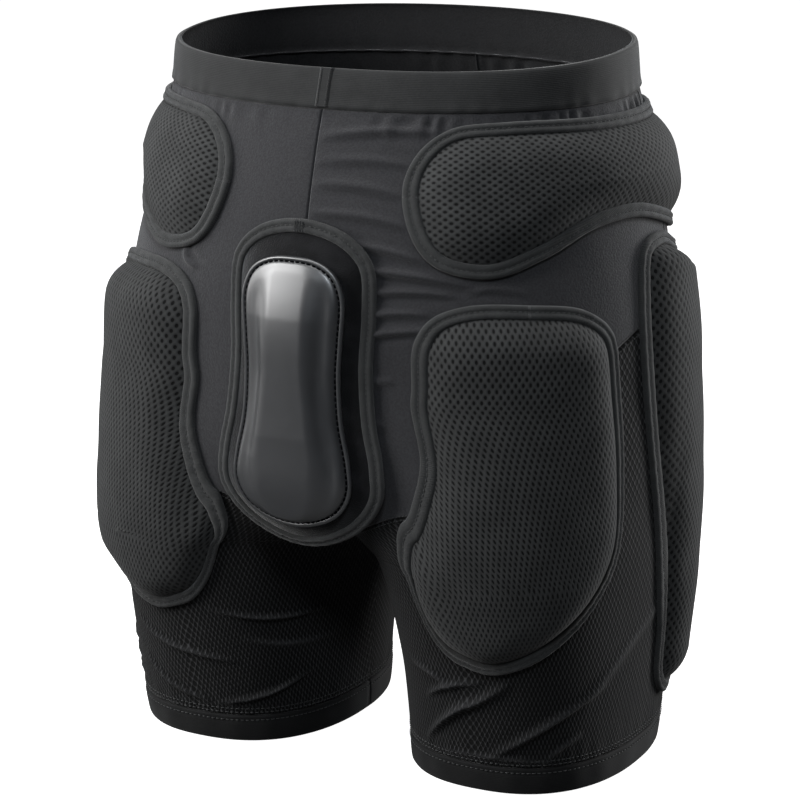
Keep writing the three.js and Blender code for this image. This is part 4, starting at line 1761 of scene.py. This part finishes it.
# name, metres to the right, to the front and up, size, watts, colour if it isn't white
SOFTBOXES = (
    ("left_box", -1.62, 0.55, 1.15, (1.0, 1.3), 33),
    ("left_rear_box", -1.6, -0.5, 0.8, (0.6, 1.4), 8),
    ("right_box", 1.7, -0.65, 0.62, (0.7, 1.4), 28),
    ("top_box", 0.0, 0.1, 2.1, (1.2, 0.8), 14),
    ("front_top_box", 0.0, 1.5, 1.45, (0.5, 0.3), 9.5, (0.86, 0.93, 1.0)),
)


@dataclass(frozen=True)
class Studio:
    """Camera, pale floor and soft light."""

    azimuth: float = 27.0
    elevation: float = 14.5
    distance: float = 1.8
    lens: float = 121.5
    aim: tuple[float, float, float] = (0.0, 0.010, 0.230)
    aim_right: float = -0.0033
    aim_up: float = -0.0080
    room: float = 0.035  # how brightly the room lights the garment

    def _axes(self) -> tuple[Array, Array, Array]:
        """Directions from the object to the camera, to the picture's right and up.

        Returns:
            Three unit vectors.
        """
        az, el = math.radians(self.azimuth), math.radians(self.elevation)
        back = np.array([math.sin(az) * math.cos(el), -math.cos(az) * math.cos(el), math.sin(el)])
        right = np.array([math.cos(az), math.sin(az), 0.0])
        return back, right, np.cross(back, right)

    def camera(self) -> None:
        """Places the camera."""
        back, right, up = self._axes()
        data = bpy.data.cameras.new("studio_camera")
        data.lens, data.sensor_width = self.lens, 36.0
        data.clip_start, data.clip_end = 0.05, 60.0
        camera = bpy.data.objects.new("studio_camera", data)
        target = np.array(self.aim) + right * self.aim_right + up * self.aim_up
        camera.location = target + back * self.distance
        bpy.context.scene.collection.objects.link(camera)
        self._turn_to(camera, target)
        bpy.context.scene.camera = camera

    @staticmethod
    def _turn_to(thing: bpy.types.Object, target: Array) -> None:
        """Turns an object's -Z towards a place."""
        ahead = Vector(target) - thing.location
        thing.rotation_euler = ahead.to_track_quat("-Z", "Y").to_euler()

    def _softbox(
        self, name: str, right: float, front: float, up: float, size: Flat, watts: float,
        colour: tuple[float, float, float] = (1.0, 1.0, 1.0),
    ) -> None:
        """Hangs a softbox at a place given from the camera's point of view.

        Args:
            name: name of the light.
            right: metres to the right.
            front: metres towards the camera.
            up: height over the floor.
            size: width and height of the box.
            watts: its power.
            colour: its colour.
        """
        back, to_right, _ = self._axes()
        flat = np.array([back[0], back[1], 0.0])
        flat /= np.linalg.norm(flat)
        data = bpy.data.lights.new(name, "AREA")
        data.shape, data.size, data.size_y, data.energy = "RECTANGLE", size[0], size[1], watts
        data.color = colour
        lamp = bpy.data.objects.new(name, data)
        lamp.location = to_right * right + flat * front + np.array([0, 0, up])
        bpy.context.scene.collection.objects.link(lamp)
        self._turn_to(lamp, np.array([0.0, 0.0, 0.24]))

    def light(self) -> None:
        """Hangs the softboxes in a pale room."""
        for box in SOFTBOXES:
            self._softbox(*box)
        world = bpy.data.worlds.new("pale_room")
        world.use_nodes = True
        nodes, links = world.node_tree.nodes, world.node_tree.links
        seen, room = nodes.new("ShaderNodeBackground"), nodes["Background"]
        for shade, strength in ((seen, 1.0), (room, self.room)):
            shade.inputs["Color"].default_value = (1, 1, 1, 1)
            shade.inputs["Strength"].default_value = strength
        path, mix = nodes.new("ShaderNodeLightPath"), nodes.new("ShaderNodeMixShader")
        links.new(path.outputs["Is Camera Ray"], mix.inputs[0])
        links.new(room.outputs[0], mix.inputs[1])
        links.new(seen.outputs[0], mix.inputs[2])
        links.new(mix.outputs[0], nodes["World Output"].inputs["Surface"])
        bpy.context.scene.world = world
        bpy.context.scene.view_settings.view_transform = "Standard"

    def floor(self) -> None:
        """Lays the floor."""
        reach = 12.0
        corners = [(x * reach, y * reach, 0) for x, y in ((-1, -1), (1, -1), (1, 1), (-1, 1))]
        mesh = bpy.data.meshes.new("floor")
        mesh.from_pydata(corners, [], [(0, 1, 2, 3)])
        mesh.materials.append(FLOOR.material())
        floor = bpy.data.objects.new("floor", mesh)
        floor.location.z = -0.0005
        bpy.context.scene.collection.objects.link(floor)


def main() -> None:
    """Builds the shorts piece by piece and logs how many faces each garment piece has."""
    logging.basicConfig(level=logging.INFO, format="%(name)s: %(message)s")
    studio = Studio()
    studio.camera()
    pads = PadSet()
    covers = pads.build()
    FoamSwell().run(covers)
    HardShell().build()
    garment = Garment()
    garment.waistband()
    garment.panels()
    garment.hems()
    garment.seams()
    for piece in garment.made:
        LOG.info("%s: %d faces", piece.name, len(piece.data.polygons))
    studio.light()
    studio.floor()


if __name__ == "__main__":
    main()
